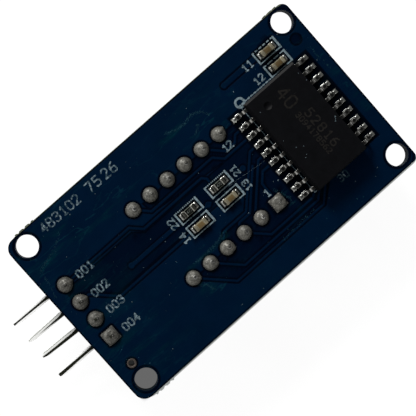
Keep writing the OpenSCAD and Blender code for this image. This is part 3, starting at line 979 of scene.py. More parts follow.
class Paint(Enum):
    """The finishes, each with the material slot that it stands for."""

    MASK = MaskFinish("solder_mask", "board")
    BOARD = BoardFinish("board_laminate", "board")
    INK = InkFinish("legend_ink", "board")
    CHIP_INK = InkFinish(
        "chip_ink", "chip_moulding", (0.0130, 0.0120, 0.0108), (0.0072, 0.0068, 0.0064), cover=0.48
    )
    PART_INK = InkFinish("part_ink", "resistor_coat", (0.07, 0.078, 0.07), (0.03, 0.034, 0.03), cover=0.5)
    SOLDER = MetalFinish(
        "solder", "solder", (0.182, 0.177, 0.155), (0.074, 0.072, 0.062), 0.45, cloud=4200.0,
        roughness=(0.44, 0.66), speckle=0.45,
    )
    FRESH = MetalFinish(
        "fresh_solder", "solder", (0.42, 0.425, 0.395), (0.215, 0.22, 0.205), roughness=(0.2, 0.34),
        relief=0.000012, speckle=0.3,
    )
    LEAD = MetalFinish(
        "tinned_lead", "tinned_lead", (0.42, 0.415, 0.39), (0.25, 0.25, 0.235), cloud=2600.0,
        roughness=(0.22, 0.36), relief=0.000008, speckle=0.2,
    )
    PART_END = MetalFinish(
        "part_end", "part_end", (0.27, 0.245, 0.17), (0.15, 0.135, 0.09), 0.35, roughness=(0.3, 0.5),
        speckle=0.4,
    )
    DARK_END = MetalFinish(
        "dark_part_end", "part_end", (0.20, 0.20, 0.17), (0.06, 0.062, 0.05), 0.9, roughness=(0.2, 0.4),
        speckle=0.5,
    )
    BAND = MetalFinish(
        "part_band", "part_end", (0.33, 0.33, 0.29), (0.2, 0.2, 0.18), 0.3, roughness=(0.35, 0.5)
    )
    LINING = MetalFinish(
        "hole_lining", "solder", (0.082, 0.066, 0.054), (0.034, 0.024, 0.020), 0.3, 4200.0, (0.45, 0.65)
    )
    PIN = PinFinish("header_pin", "header_pin")
    MOULDING = PlasticFinish(
        "chip_moulding", "chip_moulding", (0.0026, 0.0028, 0.0035), (0.8, 1.25), grain=11000.0,
        relief=0.000012, roughness=0.75, gloss=0.04, dust=0.35, painted_lit_flank=(0.026, 0.026, 0.026),
    )
    CERAMIC = PlasticFinish(
        "capacitor_ceramic", "capacitor_ceramic", (0.150, 0.133, 0.085), (0.75, 1.2), relief=0.000012,
        gloss=0.15,
    )
    CORE = PlasticFinish(
        "capacitor_core", "capacitor_ceramic", (0.108, 0.074, 0.031), (0.75, 1.25), relief=0.000012,
        gloss=0.1,
    )
    ALUMINA = PlasticFinish("alumina", "resistor_coat", (0.10, 0.115, 0.09), (0.85, 1.1), gloss=0.25)
    COAT = PlasticFinish(
        "resistor_coat", "resistor_coat", (0.0015, 0.0018, 0.0016), (0.8, 1.3), roughness=0.55, gloss=0.05
    )
    HEADER = PlasticFinish(
        "header_plastic", "header_plastic", (0.010, 0.010, 0.011), (0.85, 1.2), 5200.0, 0.00002, 0.5, 0.3
    )
    HOUSING = HousingFinish("display_plastic", "display_plastic")
    INNER = PlasticFinish(
        "inner_board", "inner_board", (0.01, 0.07, 0.03), (0.8, 1.2), 4000.0, 0.00002, 0.45, 0.3
    )
    DIE = PlasticFinish(
        "light_chip", "light_chip", (0.5, 0.36, 0.08), (0.9, 1.1), 20000.0, 0.000004, 0.3, 0.5
    )
    BACK = PlasticFinish(
        "back_resin", "back_resin", (0.05, 0.05, 0.048), (0.85, 1.15), 3000.0, 0.00003, 0.35, 0.4
    )
    MILKY = PlasticFinish(
        "milky_resin", "milky_resin", (0.62, 0.62, 0.58), (0.94, 1.04), 3000.0, 0.00001, 0.4, 0.4
    )
    SPECK = PlasticFinish("speck", "board", (0.075, 0.105, 0.120), (0.6, 1.4), roughness=0.7)
    RESIDUE = PlasticFinish(
        "flux_residue", "board", (0.008, 0.031, 0.043), (0.5, 1.6), 9000.0, 0.00002, 0.5, 0.05
    )


class Palette:
    """Makes each finish once and puts it on pieces."""

    def __init__(self) -> None:
        """Makes the shared groups."""
        self._effects = SharedEffects()
        self._made: dict[Paint, bpy.types.Material] = {}

    def get(self, paint: Paint) -> bpy.types.Material:
        """The material of a finish.

        Args:
            paint: The finish.

        Returns:
            The material.
        """
        if paint not in self._made:
            self._made[paint] = paint.value.build(self._effects)
        return self._made[paint]

    def dress(self, made: Thing, paint: Paint, *nodes: str) -> Thing:
        """Puts a new piece on the body, in its finish.

        Args:
            made: The piece.
            paint: Its finish.
            *nodes: CAD nodes that it stands for.

        Returns:
            The piece.
        """
        made.data.materials.append(self.get(paint))
        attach(made, BODY)
        if nodes:
            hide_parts(*nodes)
        LOG.info("%s: %d faces, %s", made.name, len(made.data.polygons), paint.name.lower())
        return made

    def coat(self, node: Thing, paint: Paint) -> None:
        """Gives a CAD node its finish.

        Args:
            node: The node.
            paint: Its finish.
        """
        node.data.materials.clear()
        node.data.materials.append(self.get(paint))
        LOG.info("%s: CAD node, %s", node.name, paint.name.lower())


@dataclass
class Assembly(ABC):
    """Pieces that are built and dressed together."""

    palette: Palette

    @abstractmethod
    def build(self) -> None:
        """Makes the pieces."""


# The board


@dataclass(frozen=True)
class Trace:
    """A copper line."""

    points: Line
    width: float = 0.26

    def near(self, p: Points) -> np.ndarray:
        """How far points lie inside the line, positive inside."""
        pairs = zip(self.points, self.points[1:])
        return self.width / 2 - np.min([segment_distance(p, a, b) for a, b in pairs], 0)


@dataclass(frozen=True)
class Pad:
    """A solder pad, round or rectangular."""

    x: float
    y: float
    half_x: float
    half_y: float
    radius: float

    def near(self, p: Points) -> np.ndarray:
        """How far points lie inside the pad, positive inside."""
        return box_inside(p, (self.x, self.y), (self.half_x, self.half_y), self.radius)

    def raised(self, cells: tuple[int, int], height: Field, floor: float) -> Shape:
        """A grid over the pad, raised above a level floor.

        Args:
            cells: Cells along X and along Y.
            height: Height above the floor at each point.
            floor: The floor's height.

        Returns:
            Vertices and faces.
        """
        made = bmesh.new()
        bmesh.ops.create_grid(made, x_segments=cells[0], y_segments=cells[1], size=1.0)
        vertices, faces = read_out(made)
        p = np.array(vertices)[:, :2] * (self.half_x, self.half_y) + (self.x, self.y)
        return np.column_stack([p, floor + height(p)]).tolist(), faces


def joint_pads() -> list[Pad]:
    """The pads of the display and the header, from the CAD solder.

    Returns:
        The pads: the header's four, then the display's lower and upper rows.
    """
    made = []
    for i in range(1, 5):
        box = box_of(f"header_solder_{i}")
        half = box.size.x / 2
        made.append(Pad(box.middle.x, box.middle.y, half, half, half if i < 4 else 0.08))
    for name in ("display_solder_lower", "display_solder_upper"):
        box = box_of(name)
        half, row = box.size.y / 2, box.middle.y
        for k in range(6):
            x = box.high.x - half - k * (box.size.x - 2 * half) / 5
            is_square = name.endswith("lower") and k == 0
            made.append(Pad(x, row, half, half, 0.08 if is_square else half))
    return made


@dataclass
class CopperPlan:
    """Where copper lies under the mask, and how high the mask stands."""

    clearance: float = 0.21
    rise: float = 0.03
    slope: float = 0.16
    lift: float = 0.012
    outline_shift: float = 0.05
    outline_trim: Spot = (0.02, 0.23)
    corner_r: float = 1.3
    hole_shift: Spot = (0.2, 0.15)
    hole_half: Spot = (18.9, 9.9)
    hole_r: float = 1.33
    hole_ring_r: float = 1.62
    pour_inset: float = 0.16
    pour_corner_r: float = 1.2
    pad_gap: float = 0.02
    pad_ring: float = 0.03
    via_r: float = 0.34
    via_dip: float = 0.03
    via_dip_r: float = 0.2
    foot_away: float = 0.86
    foot_half: Spot = (0.42, 0.48)
    # Half size of the painted shade under each small part.
    part_shade: Spot = (1.6, 0.84)
    traces: tuple[Trace, ...] = (
        Trace(((-17.4, 3.86), (-8.0, 3.86), (-6.85, 2.67), (1.7, 2.67), (2.1, 2.2), (2.1, 1.2))),
        Trace(((-17.4, 1.32), (-16.2, 1.32), (-13.75, -1.17), (-2.4, -1.17))),
        Trace(((-10.55, 0.52), (-2.4, 0.52)), 0.46),
        Trace(((-6.35, 5.08), (-4.9, 3.58), (4.1, 3.58), (5.1, 2.56), (9.2, 2.56))),
        Trace(((3.81, 5.08), (5.7, 3.16), (7.1, 3.16), (7.75, 3.81), (9.2, 3.81))),
        Trace(((-1.27, -5.08), (-1.27, -4.4), (-0.35, -3.48), (2.95, -3.48), (7.7, 1.27), (9.2, 1.27))),
        Trace(((1.27, -5.08), (1.27, -4.2), (1.62, -3.87), (3.15, -3.87), (6.9, -0.1))),
        Trace(((3.81, -5.08), (3.81, -4.1), (7.8, -0.05), (9.2, -0.05))),
        Trace(((6.35, -5.08), (6.35, -2.9), (6.4, -2.3), (7.35, -1.31), (9.2, -1.31))),
        Trace(((1.27, -5.08), (3.45, -7.26), (9.7, -7.26), (10.1, -6.9), (10.1, -6.3)), 0.24),
        Trace(((-3.81, -5.08), (-1.05, -7.86), (9.95, -7.86), (11.0, -6.9), (11.0, -5.0)), 0.24),
        Trace(((-6.35, -5.08), (-2.85, -8.64), (10.1, -8.64), (11.9, -6.9), (11.9, -5.0)), 0.24),
        Trace(((10.42, 8.73), (16.0, 8.73)), 0.62),
        Trace(((-0.3, -0.05), (0.6, -0.05)), 0.3),
    )
    voids: tuple[Line, ...] = (
        (
            (-18.0, 3.4), (-8.1, 3.4), (-7.0, 2.4), (8.4, 2.4), (8.4, -0.9), (4.6, -0.9), (-13.7, -0.9),
            (-16.0, 1.3), (-18.0, 1.3),
        ),
        (
            (-5.2, 4.95), (8.4, 4.95), (8.4, -8.85), (-2.9, -8.85), (-6.0, -5.7), (-6.0, -5.1),
            (-1.6, -5.1), (-1.6, -4.5), (-0.55, -3.42), (2.6, -3.42), (4.5, -1.8), (4.5, 2.3), (-5.0, 3.3),
        ),
        ((8.2, 5.75), (10.5, 5.75), (10.5, -7.1), (12.4, -7.1), (10.3, -8.9), (8.2, -8.9)),
        ((17.6, 5.75), (20.05, 5.75), (20.05, -7.0), (17.6, -7.0)),
    )
    vias: Line = ((-10.55, 0.55), (0.3, -0.05), (5.9, 0.42), (10.42, 8.73))
    disc: Triple = (19.95, 7.3, 0.75)
    # Boxes of painted shade between the chip's leads.
    painted_shade_boxes: tuple[tuple[Spot, Spot], ...] = (((9.35, -0.65), (1.2, 6.4)), ((18.85, -0.65), (1.1, 6.4)))
    films: tuple[tuple[Spot, Spot, float, float], ...] = (
        ((-17.5, 6.9), (-13.0, 8.7), 1.2, 1.0),
        ((-13.5, 7.2), (-8.5, 6.6), 1.0, 0.8),
        ((-14.0, 7.9), (-1.0, 7.75), 0.25, 0.8),
        ((-7.0, 6.4), (0.0, 6.5), 0.8, 0.45),
        ((1.5, 8.0), (6.6, 7.4), 1.3, 0.9),
        ((-7.4, -4.0), (-0.4, -3.7), 0.5, 1.0),
        ((-6.3, -6.3), (-3.6, -8.9), 0.5, 1.0),
        ((-17.8, -5.7), (-13.4, -8.2), 0.7, 0.9),
        ((-18.6, 0.0), (-18.4, -6.0), 0.6, 0.6),
        ((7.6, 5.8), (7.7, 4.0), 0.45, 0.8),
        ((7.3, -4.0), (7.7, -7.0), 0.5, 0.7),
        ((20.9, 5.0), (21.0, -4.0), 0.5, 0.6),
    )

    def __post_init__(self) -> None:
        """Takes the board, the holes and the pads from the CAD model."""
        self.board = box_of("circuit_board")
        x, y = self.board.middle.x, self.board.middle.y
        width, height = self.board.size.x / 2, self.board.size.y / 2
        self.outline_middle = (x, y + self.outline_shift)
        self.outline_half = (width - self.outline_trim[0], height - self.outline_trim[1])
        (dx, dy), (half_x, half_y) = self.hole_shift, self.hole_half
        self.screws = [(x + dx + sx * half_x, y + dy + sy * half_y) for sx in (-1, 1) for sy in (-1, 1)]
        eyelet = box_of("tinned_hole")
        half = eyelet.size.x / 2
        self.pads = [*joint_pads(), Pad(eyelet.middle.x, eyelet.middle.y, half, eyelet.size.y / 2, half)]
        self.part_places = [box_of(f"{name}_ends").middle[:2] for name in SMALL_PARTS]
        self.foot_pads = [
            Pad(
                x + side * self.foot_away, y, *self.foot_half, 0.05
            ) for x, y in self.part_places for side in (-1, 1)
        ]

    def board_inside(self, p: Points) -> np.ndarray:
        """How far points lie inside the mask's own outline, holes and openings left out.

        Args:
            p: The points.

        Returns:
            Positive inside and negative outside.
        """
        inside = box_inside(p, self.outline_middle, self.outline_half, self.corner_r)
        for screw in self.screws:
            inside = np.minimum(inside, distance(p, screw) - self.hole_r)
        for pad in self.pads:
            inside = np.minimum(inside, -pad.near(p) - self.pad_gap)
        return inside

    def copper(self, p: Points) -> np.ndarray:
        """How far points lie inside copper.

        Args:
            p: The points.

        Returns:
            Positive inside and negative outside.
        """
        pour = box_inside(p, self.outline_middle, self.outline_half, self.pour_corner_r) - self.pour_inset
        for screw in self.screws:
            pour = np.minimum(pour, distance(p, screw) - self.hole_ring_r)
        for void in self.voids:
            pour = np.minimum(pour, -polygon_inside(p, void))
        own = np.full(len(p), -FAR)
        for item in [*self.traces, *self.pads]:
            near = item.near(p)
            pour = np.minimum(pour, -near - self.clearance)
            own = np.maximum(own, near + (self.pad_ring if isinstance(item, Pad) else 0.0))
        for via in self.vias:
            away = distance(p, via) - self.via_r
            own = np.maximum(own, -away)
            pour = np.minimum(pour, away - self.clearance)
        pour = np.minimum(pour, distance(p, self.disc[:2]) - self.disc[2])
        return np.maximum(pour, own)

    def height(self, p: Points) -> np.ndarray:
        """Height of the mask's surface at points.

        Args:
            p: The points.

        Returns:
            One height a point, in millimetres.
        """
        z = self.board.high.z + self.lift + self.rise * smooth(self.copper(p) / self.slope + 0.5)
        for via in self.vias:
            z -= self.via_dip * smooth((self.via_dip_r - distance(p, via)) / 0.1)
        return z

    def painted_shade(self, p: Points) -> np.ndarray:
        """How much painted shade lies on the mask: between the chip's leads, along copper edges, round pads
        and under the small parts.

        Args:
            p: The points.

        Returns:
            A share from 0 to 1.
        """
        made = np.zeros(len(p))
        for middle, half in self.painted_shade_boxes:
            made = np.maximum(made, smooth(box_inside(p, middle, half, 0.2) / 0.25))
        made = np.maximum(made, 0.8 * smooth(1.55 - np.abs(self.copper(p) + 0.11) / 0.09))
        for pad in self.pads:
            made = np.maximum(made, 0.9 * smooth(1 + (pad.near(p) + 0.12) / 0.14))
        for place in self.part_places:
            made = np.maximum(made, smooth(box_inside(p, place, self.part_shade, 0.1) / 0.1 + 1))
        return made

    def bloom(self, p: Points) -> np.ndarray:
        """How much pale flux film lies on the mask.

        Args:
            p: The points.

        Returns:
            A share from 0 to 1.
        """
        made = 0.08 + 0.3 * smooth((-9 - p[:, 0]) / 7) + 0.14 * smooth((p[:, 1] - 4.5) / 3)
        for a, b, reach, strength in self.films:
            made = np.maximum(made, strength * smooth(1.4 - segment_distance(p, a, b) / reach))
        return made


@dataclass
class BoardFace(Assembly):
    """The solder mask over the board's back face."""

    plan: CopperPlan

    def build(self) -> None:
        """Meshes and dresses the mask."""
        board = self.plan.board
        sheet = Sheet(
            inside=self.plan.board_inside,
            height=self.plan.height,
            low=(board.low.x - 0.1, board.low.y - 0.1),
            high=(board.high.x + 0.1, board.high.y + 0.1),
            band=0.05,
            edges=lambda p: np.abs(self.plan.copper(p)),
            skirt=0.045,
        )
        made, p = sheet.build("solder_mask")
        add_values(made, "copper", smooth(self.plan.copper(p) / self.plan.slope + 0.5))
        add_values(made, "painted_shade", self.plan.painted_shade(p))
        add_values(made, "bloom", self.plan.bloom(p))
        self.palette.dress(made, Paint.MASK)


# Print

STROKE_MARGIN = 1.2
DIGIT_STROKES: dict[str, tuple[Line, ...]] = {
    "0": (
        (
            (0.15, 0), (0.45, 0), (0.6, 0.18), (0.6, 0.82), (0.45, 1), (0.15, 1), (0, 0.82), (0, 0.18),
            (0.15, 0),
        ),
    ),
    "1": (((0.14, 0.8), (0.36, 1), (0.36, 0)), ((0.18, 0), (0.54, 0))),
    "2": (((0, 0.82), (0.14, 1), (0.46, 1), (0.6, 0.84), (0.6, 0.64), (0, 0), (0.6, 0)),),
    "3": (
        (
            (0, 0.88), (0.14, 1), (0.46, 1), (0.6, 0.86), (0.6, 0.66), (0.42, 0.53), (0.6, 0.4),
            (0.6, 0.15), (0.46, 0), (0.14, 0), (0, 0.12),
        ),
        ((0.2, 0.53), (0.42, 0.53)),
    ),
    "4": (((0.46, 0), (0.46, 1), (0, 0.3), (0.62, 0.3)),),
    "5": (
        (
            (0.56, 1), (0.06, 1), (0.02, 0.57), (0.42, 0.6), (0.6, 0.45), (0.6, 0.16), (0.45, 0),
            (0.12, 0), (0, 0.1),
        ),
    ),
    "6": (
        (
            (0.5, 1), (0.2, 0.88), (0, 0.55), (0, 0.16), (0.14, 0), (0.46, 0), (0.6, 0.14), (0.6, 0.4),
            (0.46, 0.54), (0.14, 0.54), (0, 0.42),
        ),
    ),
    "7": (((0, 1), (0.6, 1), (0.22, 0)),),
    "8": (
        (
            (0.15, 0.53), (0, 0.68), (0, 0.86), (0.14, 1), (0.46, 1), (0.6, 0.86), (0.6, 0.68),
            (0.45, 0.53), (0.15, 0.53), (0, 0.4), (0, 0.14), (0.14, 0), (0.46, 0), (0.6, 0.14), (0.6, 0.4),
            (0.45, 0.53),
        ),
    ),
    "9": (
        (
            (0.1, 0), (0.4, 0.12), (0.6, 0.45), (0.6, 0.84), (0.46, 1), (0.14, 1), (0, 0.86), (0, 0.6),
            (0.14, 0.46), (0.46, 0.46), (0.6, 0.58),
        ),
    ),
}


@dataclass(frozen=True)
class Stroke:
    """A printed line from a to b, broken into dots where ripple is wide enough."""

    a: Spot
    b: Spot
    width: float
    ripple: float = 0.0
    period: float = 0.245
    fade: float = 0.0

    def near(self, p: Points) -> np.ndarray:
        """How far points lie inside the stroke, positive inside.

        Args:
            p: The points.

        Returns:
            Positive inside and negative outside.
        """
        far = segment_distance(p, self.a, self.b)
        if not self.ripple:
            return self.width / 2 - far
        along = (p - np.array(self.a)) @ (np.array(self.b) - np.array(self.a)) / math.dist(self.a, self.b)
        wave = np.clip(2 * np.cos(along * 2 * math.pi / self.period) + 0.6, -1, 0)
        return self.width / 2 - far + self.ripple * wave


def cover(strokes: Sequence[Stroke], p: Points) -> np.ndarray:
    """How far points lie inside any of some strokes.

    Args:
        strokes: The strokes.
        p: The points.

    Returns:
        Positive inside and negative outside.
    """
    made = np.full(len(p), -FAR)
    for s in strokes:
        margin = s.width + STROKE_MARGIN
        low, high = np.minimum(s.a, s.b) - margin, np.maximum(s.a, s.b) + margin
        near = ((p > low) & (p < high)).all(1)
        made[near] = np.maximum(made[near], s.near(p[near]))
    return made


def print_on(
    strokes: Sequence[Stroke], low: Spot, high: Spot, top: float, coarse: float = 0.8, skirt: float = 0.002
) -> Sheet:
    """A layer of ink on a level top, between two corners."""
    return Sheet(lambda p: cover(strokes, p), lambda p: np.full(len(p), top), low, high, coarse, skirt=skirt)


@dataclass(frozen=True)
class Number:
    """A plain number drawn in strokes."""

    digits: str
    x: float
    y: float
    height: float
    turn: float = 0.0
    weight: float = 0.16
    step: float = 0.92
    fade: float = 0.0

    def strokes(self) -> list[Stroke]:
        """The number's strokes, from its lower left corner along its turn in degrees.

        Returns:
            The strokes.
        """
        c, s = math.cos(math.radians(self.turn)), math.sin(math.radians(self.turn))
        made = []
        for k, digit in enumerate(self.digits):
            for line in DIGIT_STROKES[digit]:
                placed = []
                for u, v in line:
                    du, dv = (u + k * self.step) * self.height, v * self.height
                    placed.append((self.x + du * c - dv * s, self.y + du * s + dv * c))
                made.extend(Stroke(a, b, self.weight, fade=self.fade) for a, b in zip(placed, placed[1:]))
        return made


def outline_strokes(
    x: float, y: float, half_x: float, half_y: float, period: float, ripple: float
) -> list[Stroke]:
    """The four printed lines of a part's box.

    Args:
        x: The box's middle along X.
        y: The box's middle along Y.
        half_x: Half its length.
        half_y: Half its width.
        period: Length of a dot and a gap on the upper long side.
        ripple: How far that side's line thins between its dots.

    Returns:
        The strokes.
    """
    left, right, low, top = x - half_x, x + half_x, y - half_y, y + half_y
    return [
        Stroke((left, low), (left, top), 0.2),
        Stroke((right, low), (right, top), 0.24),
        Stroke((left, low), (right - 0.8, low), 0.13, 0.02, 0.9),
        Stroke((right - 0.8, low), (right, low), 0.15),
        Stroke((left, top), (right, top), 0.15, ripple, period),
    ]


@dataclass
class Legend(Assembly):
    """White print on the board: part boxes, the chip's outline and plain numbers."""

    plan: CopperPlan
    box_half: Spot = (1.49, 0.72)
    lift: float = 0.014
    edge_gap: float = 0.05
    pad_gap: float = 0.02
    chip_ring: Triple = (10.47, 6.13, 0.52)
    ring_steps: int = 16
    ring_w: float = 0.26
    box_dots: tuple[Spot, ...] = (
        (0.56, 0.12), (0.9, 0.06), (1.7, 0.03), (1.3, 0.03), (0.245, 0.1), (0.245, 0.1)
    )
    numbers: tuple[Number, ...] = (
        Number("483102", -15.35, 9.6, 1.05, weight=0.165, step=0.9, fade=0.62),
        Number("75", -8.6, 9.6, 1.1, weight=0.17, step=0.95, fade=0.45),
        Number("26", -6.3, 9.6, 1.1, weight=0.17, step=0.95, fade=0.55),
        Number("001", -15.75, 3.3, 0.85, weight=0.175, fade=0.5),
        Number("002", -15.85, 0.6, 0.85, weight=0.175, fade=0.45),
        Number("003", -15.75, -1.85, 0.85, weight=0.175, fade=0.5),
        Number("004", -15.8, -4.5, 0.85, weight=0.175, fade=0.4),
        Number("11", 13.2, 8.25, 0.8, fade=0.25),
        Number("12", 13.25, 6.3, 0.78, fade=0.25),
        Number("13", 5.38, -1.85, 0.75, 90, fade=0.25),
        Number("14", -3.72, -1.75, 0.78, 90, fade=0.25),
        Number("21", 5.4, 0.25, 0.72, 90, fade=0.25),
        Number("22", -3.72, 0.35, 0.78, 90, fade=0.25),
        Number("30", 13.25, -8.1, 0.8, fade=0.85),
        Number("12", 5.66, 3.0, 0.82, step=0.8, fade=0.25),
        Number("1", 5.85, -3.85, 0.82, fade=0.2),
    )

    def _strokes(self) -> list[Stroke]:
        """All the print's strokes.

        Returns:
            The strokes.
        """
        made = []
        for name, dots in zip(SMALL_PARTS, self.box_dots):
            m = box_of(f"{name}_ends").middle
            made.extend(outline_strokes(m.x, m.y, *self.box_half, *dots))
        chip = box_of("chip_body")
        left, right, top, low = chip.low.x - 0.12, chip.high.x - 0.1, chip.high.y + 0.14, chip.low.y + 0.05
        made += [
            Stroke((left, top), (right - 2.5, top), 0.17, 0.05, 0.45),
            Stroke((left, low), (left, top), 0.09, 0.015, 1.9, fade=0.3),
            Stroke((left, low), (left + 0.3, low), 0.1, fade=0.3),
        ]
        x, y, radius = self.chip_ring
        turns = np.linspace(0, math.tau, self.ring_steps + 1)
        ring = [(x + radius * math.cos(a), y + radius * math.sin(a)) for a in turns]
        made += [Stroke(a, b, self.ring_w) for a, b in zip(ring, ring[1:])]
        for number in self.numbers:
            made += number.strokes()
        return made

    def _printed(self, strokes: Sequence[Stroke], p: Points) -> np.ndarray:
        """How far points lie inside the print, which stays off the board's rim and the small parts' pads.

        Args:
            strokes: All the print's strokes.
            p: The points.

        Returns:
            Positive inside and negative outside.
        """
        made = np.minimum(cover(strokes, p), self.plan.board_inside(p) - self.edge_gap)
        for pad in self.plan.foot_pads:
            made = np.minimum(made, -pad.near(p) - self.pad_gap)
        return made

    def build(self) -> None:
        """Meshes and dresses the print."""
        strokes = self._strokes()
        board = self.plan.board
        sheet = Sheet(
            inside=lambda p: self._printed(strokes, p),
            height=lambda p: self.plan.height(p) + self.lift,
            low=(board.low.x, board.low.y),
            high=(board.high.x, board.high.y),
        )
        made, p = sheet.build("legend_print")
        shades = sorted({s.fade for s in strokes})
        reach = np.array([cover([s for s in strokes if s.fade == shade], p) for shade in shades])
        add_values(made, "fade", np.array(shades)[reach.argmax(0)])
        self.palette.dress(made, Paint.INK)


# Solder joints


@dataclass(frozen=True)
class Joint:
    """A solder dome on a through-hole pad, with its pin's tip showing."""

    pad: Pad
    height: float
    seed: int
    tip: Spot = (0.2, 0.0)
    tip_rise: float = 0.045
    nib: float | None = None
    rings: float = 0.7
    dull: float = 0.0
    steps: int = 22
    turns: int = 56
    corner_reach: float = 1.36
    nib_reach: float = 0.13
    nib_spread: float = 0.2
    tip_r: float = 0.23
    dot_r: float = 0.09
    dot_rise: float = 0.045
    ripple: float = 0.012
    ripple_waves: float = 20.0
    ring_pitch: float = 0.27
    ring_fade: float = 0.36

    @property
    def is_square(self) -> bool:
        """Whether the pad has corners."""
        return self.pad.radius < self.pad.half_x

    def _radius(self, angle: float) -> float:
        """The dome's reach in a direction.

        Args:
            angle: The direction, in radians from +X.

        Returns:
            The reach in millimetres.
        """
        half = self.pad.half_x
        if self.is_square:
            reach = half / max(abs(math.cos(angle)), abs(math.sin(angle))) * 0.985
            return min(reach, half * self.corner_reach)
        reach = half * (
            1 + 0.012 * math.sin(3 * angle + self.seed) + 0.008 * math.sin(5 * angle + 2.1 * self.seed)
        )
        if self.nib is not None:
            turn = math.atan2(math.sin(angle - self.nib), math.cos(angle - self.nib))
            reach += self.nib_reach * math.exp(-((turn / self.nib_spread) ** 2))
        return reach

    def _top(self, x: float, y: float, u: float, push: Vector) -> float:
        """The dome's height above the board.

        Args:
            x: Place along X from the pad's middle.
            y: Place along Y from the pad's middle.
            u: The place's share of the reach, from 0 at the middle to 1 at the rim.
            push: The joint's own place in the noise.

        Returns:
            The height in millimetres.
        """
        place = Vector((x, y, 0))
        round_u = min(math.hypot(x, y) / (1.12 * self.pad.half_x), 1.0) if self.is_square else u
        z = self.height * (0.2 * (1 - round_u**2) + 0.8 * (1 - round_u**4) ** 0.7)
        if self.is_square:
            ridge = 0.08 + 0.14 * abs(x * y) / (x * x + y * y + 0.001)
            z += ridge * (1 - u**8) * round_u
        z += 0.03 * noise.noise(place * 1.3 + push) * (1 - u)
        z += 0.03 * noise.noise(place * 4.2 + push) * (1 - u**4)
        far = math.hypot(x - self.tip[0], y - self.tip[1])
        z += self.ripple * math.cos(self.ripple_waves * far) * (1 - u**2)
        z += self.tip_rise / (1 + math.exp((far - self.tip_r) / 0.025))
        return z + self.dot_rise * math.exp(-((far / self.dot_r) ** 2))

    def patch(self, base: float) -> Shape:
        """The dome: a flat disc that is spun and then raised.

        Args:
            base: Height of the board's face.

        Returns:
            Vertices and faces.
        """
        rng = random.Random(self.seed)
        push = Vector((rng.uniform(-9, 9), rng.uniform(-9, 9), rng.uniform(-9, 9)))
        profile = [(math.sin(k / self.steps * math.pi / 2), 0.0) for k in range(self.steps + 1)]
        disc, faces = spun(profile, self.turns)
        vertices = []
        for across, along, _ in disc:
            u, angle = min(math.hypot(across, along), 1.0), math.atan2(along, across)
            reach = self._radius(angle) * u
            x, y = reach * math.cos(angle), reach * math.sin(angle)
            vertices.append((self.pad.x + x, self.pad.y + y, base + self._top(x, y, u, push)))
        return vertices, faces

    def darks(self, vertices: Sequence) -> np.ndarray:
        """How dark the dome is: in rings round the pin's tip.

        Args:
            vertices: The dome's points.

        Returns:
            One share of black a point.
        """
        away = np.array(vertices)[:, :2] - (self.pad.x + self.tip[0], self.pad.y + self.tip[1])
        far = np.hypot(*away.T)
        ring = 0.5 - 0.5 * np.cos(math.tau * far / self.ring_pitch)
        return self.dull + self.rings * ring * np.exp(-((far / self.ring_fade) ** 2))


@dataclass
class Joints(Assembly):
    """All the through-hole joints."""

    base: float
    header_count: int = 4
    row_count: int = 6
    nibs: dict[int, float] = field(
        default_factory=lambda: {0: -0.15, 1: -0.1, 2: -0.1, 7: -0.75, 8: -0.75, 9: -0.7, 15: -0.8, 10: 0.3}
    )
    rng: random.Random = field(default_factory=lambda: random.Random(11))

    def build(self) -> None:
        """Meshes and dresses the header's four joints and the display's two rows."""
        pads = joint_pads()
        for i in range(self.header_count):
            soup = Soup()
            tip = (0.2, -0.06) if i else (0.02, -0.02)
            nib = self.nibs.get(i)
            joint = Joint(pads[i], 0.6, 20 + i, tip, tip_rise=0.07, nib=nib, rings=0.8, dull=0.22)
            self._add(joint, soup)
            self.palette.dress(soup.finish(f"header_joint_{i + 1}"), Paint.SOLDER, f"header_solder_{i + 1}")
        for row, word in enumerate(("lower", "upper")):
            soup = Soup()
            for k in range(self.row_count):
                index = self.header_count + row * self.row_count + k
                tip = (0.2 + self.rng.uniform(-0.05, 0.05), self.rng.uniform(-0.06, 0.08))
                height = 0.59 + self.rng.uniform(-0.03, 0.03)
                joint = Joint(pads[index], height, 40 + index, tip, tip_rise=0.09, nib=self.nibs.get(index))
                self._add(joint, soup)
            self.palette.dress(soup.finish(f"display_joints_{word}"), Paint.SOLDER, f"display_solder_{word}")

    def _add(self, joint: Joint, soup: Soup) -> None:
        """Adds a joint's dome to a piece."""
        vertices, faces = joint.patch(self.base)
        soup.add(vertices, faces, self.rng.random(), joint.darks(vertices))


# The driver chip


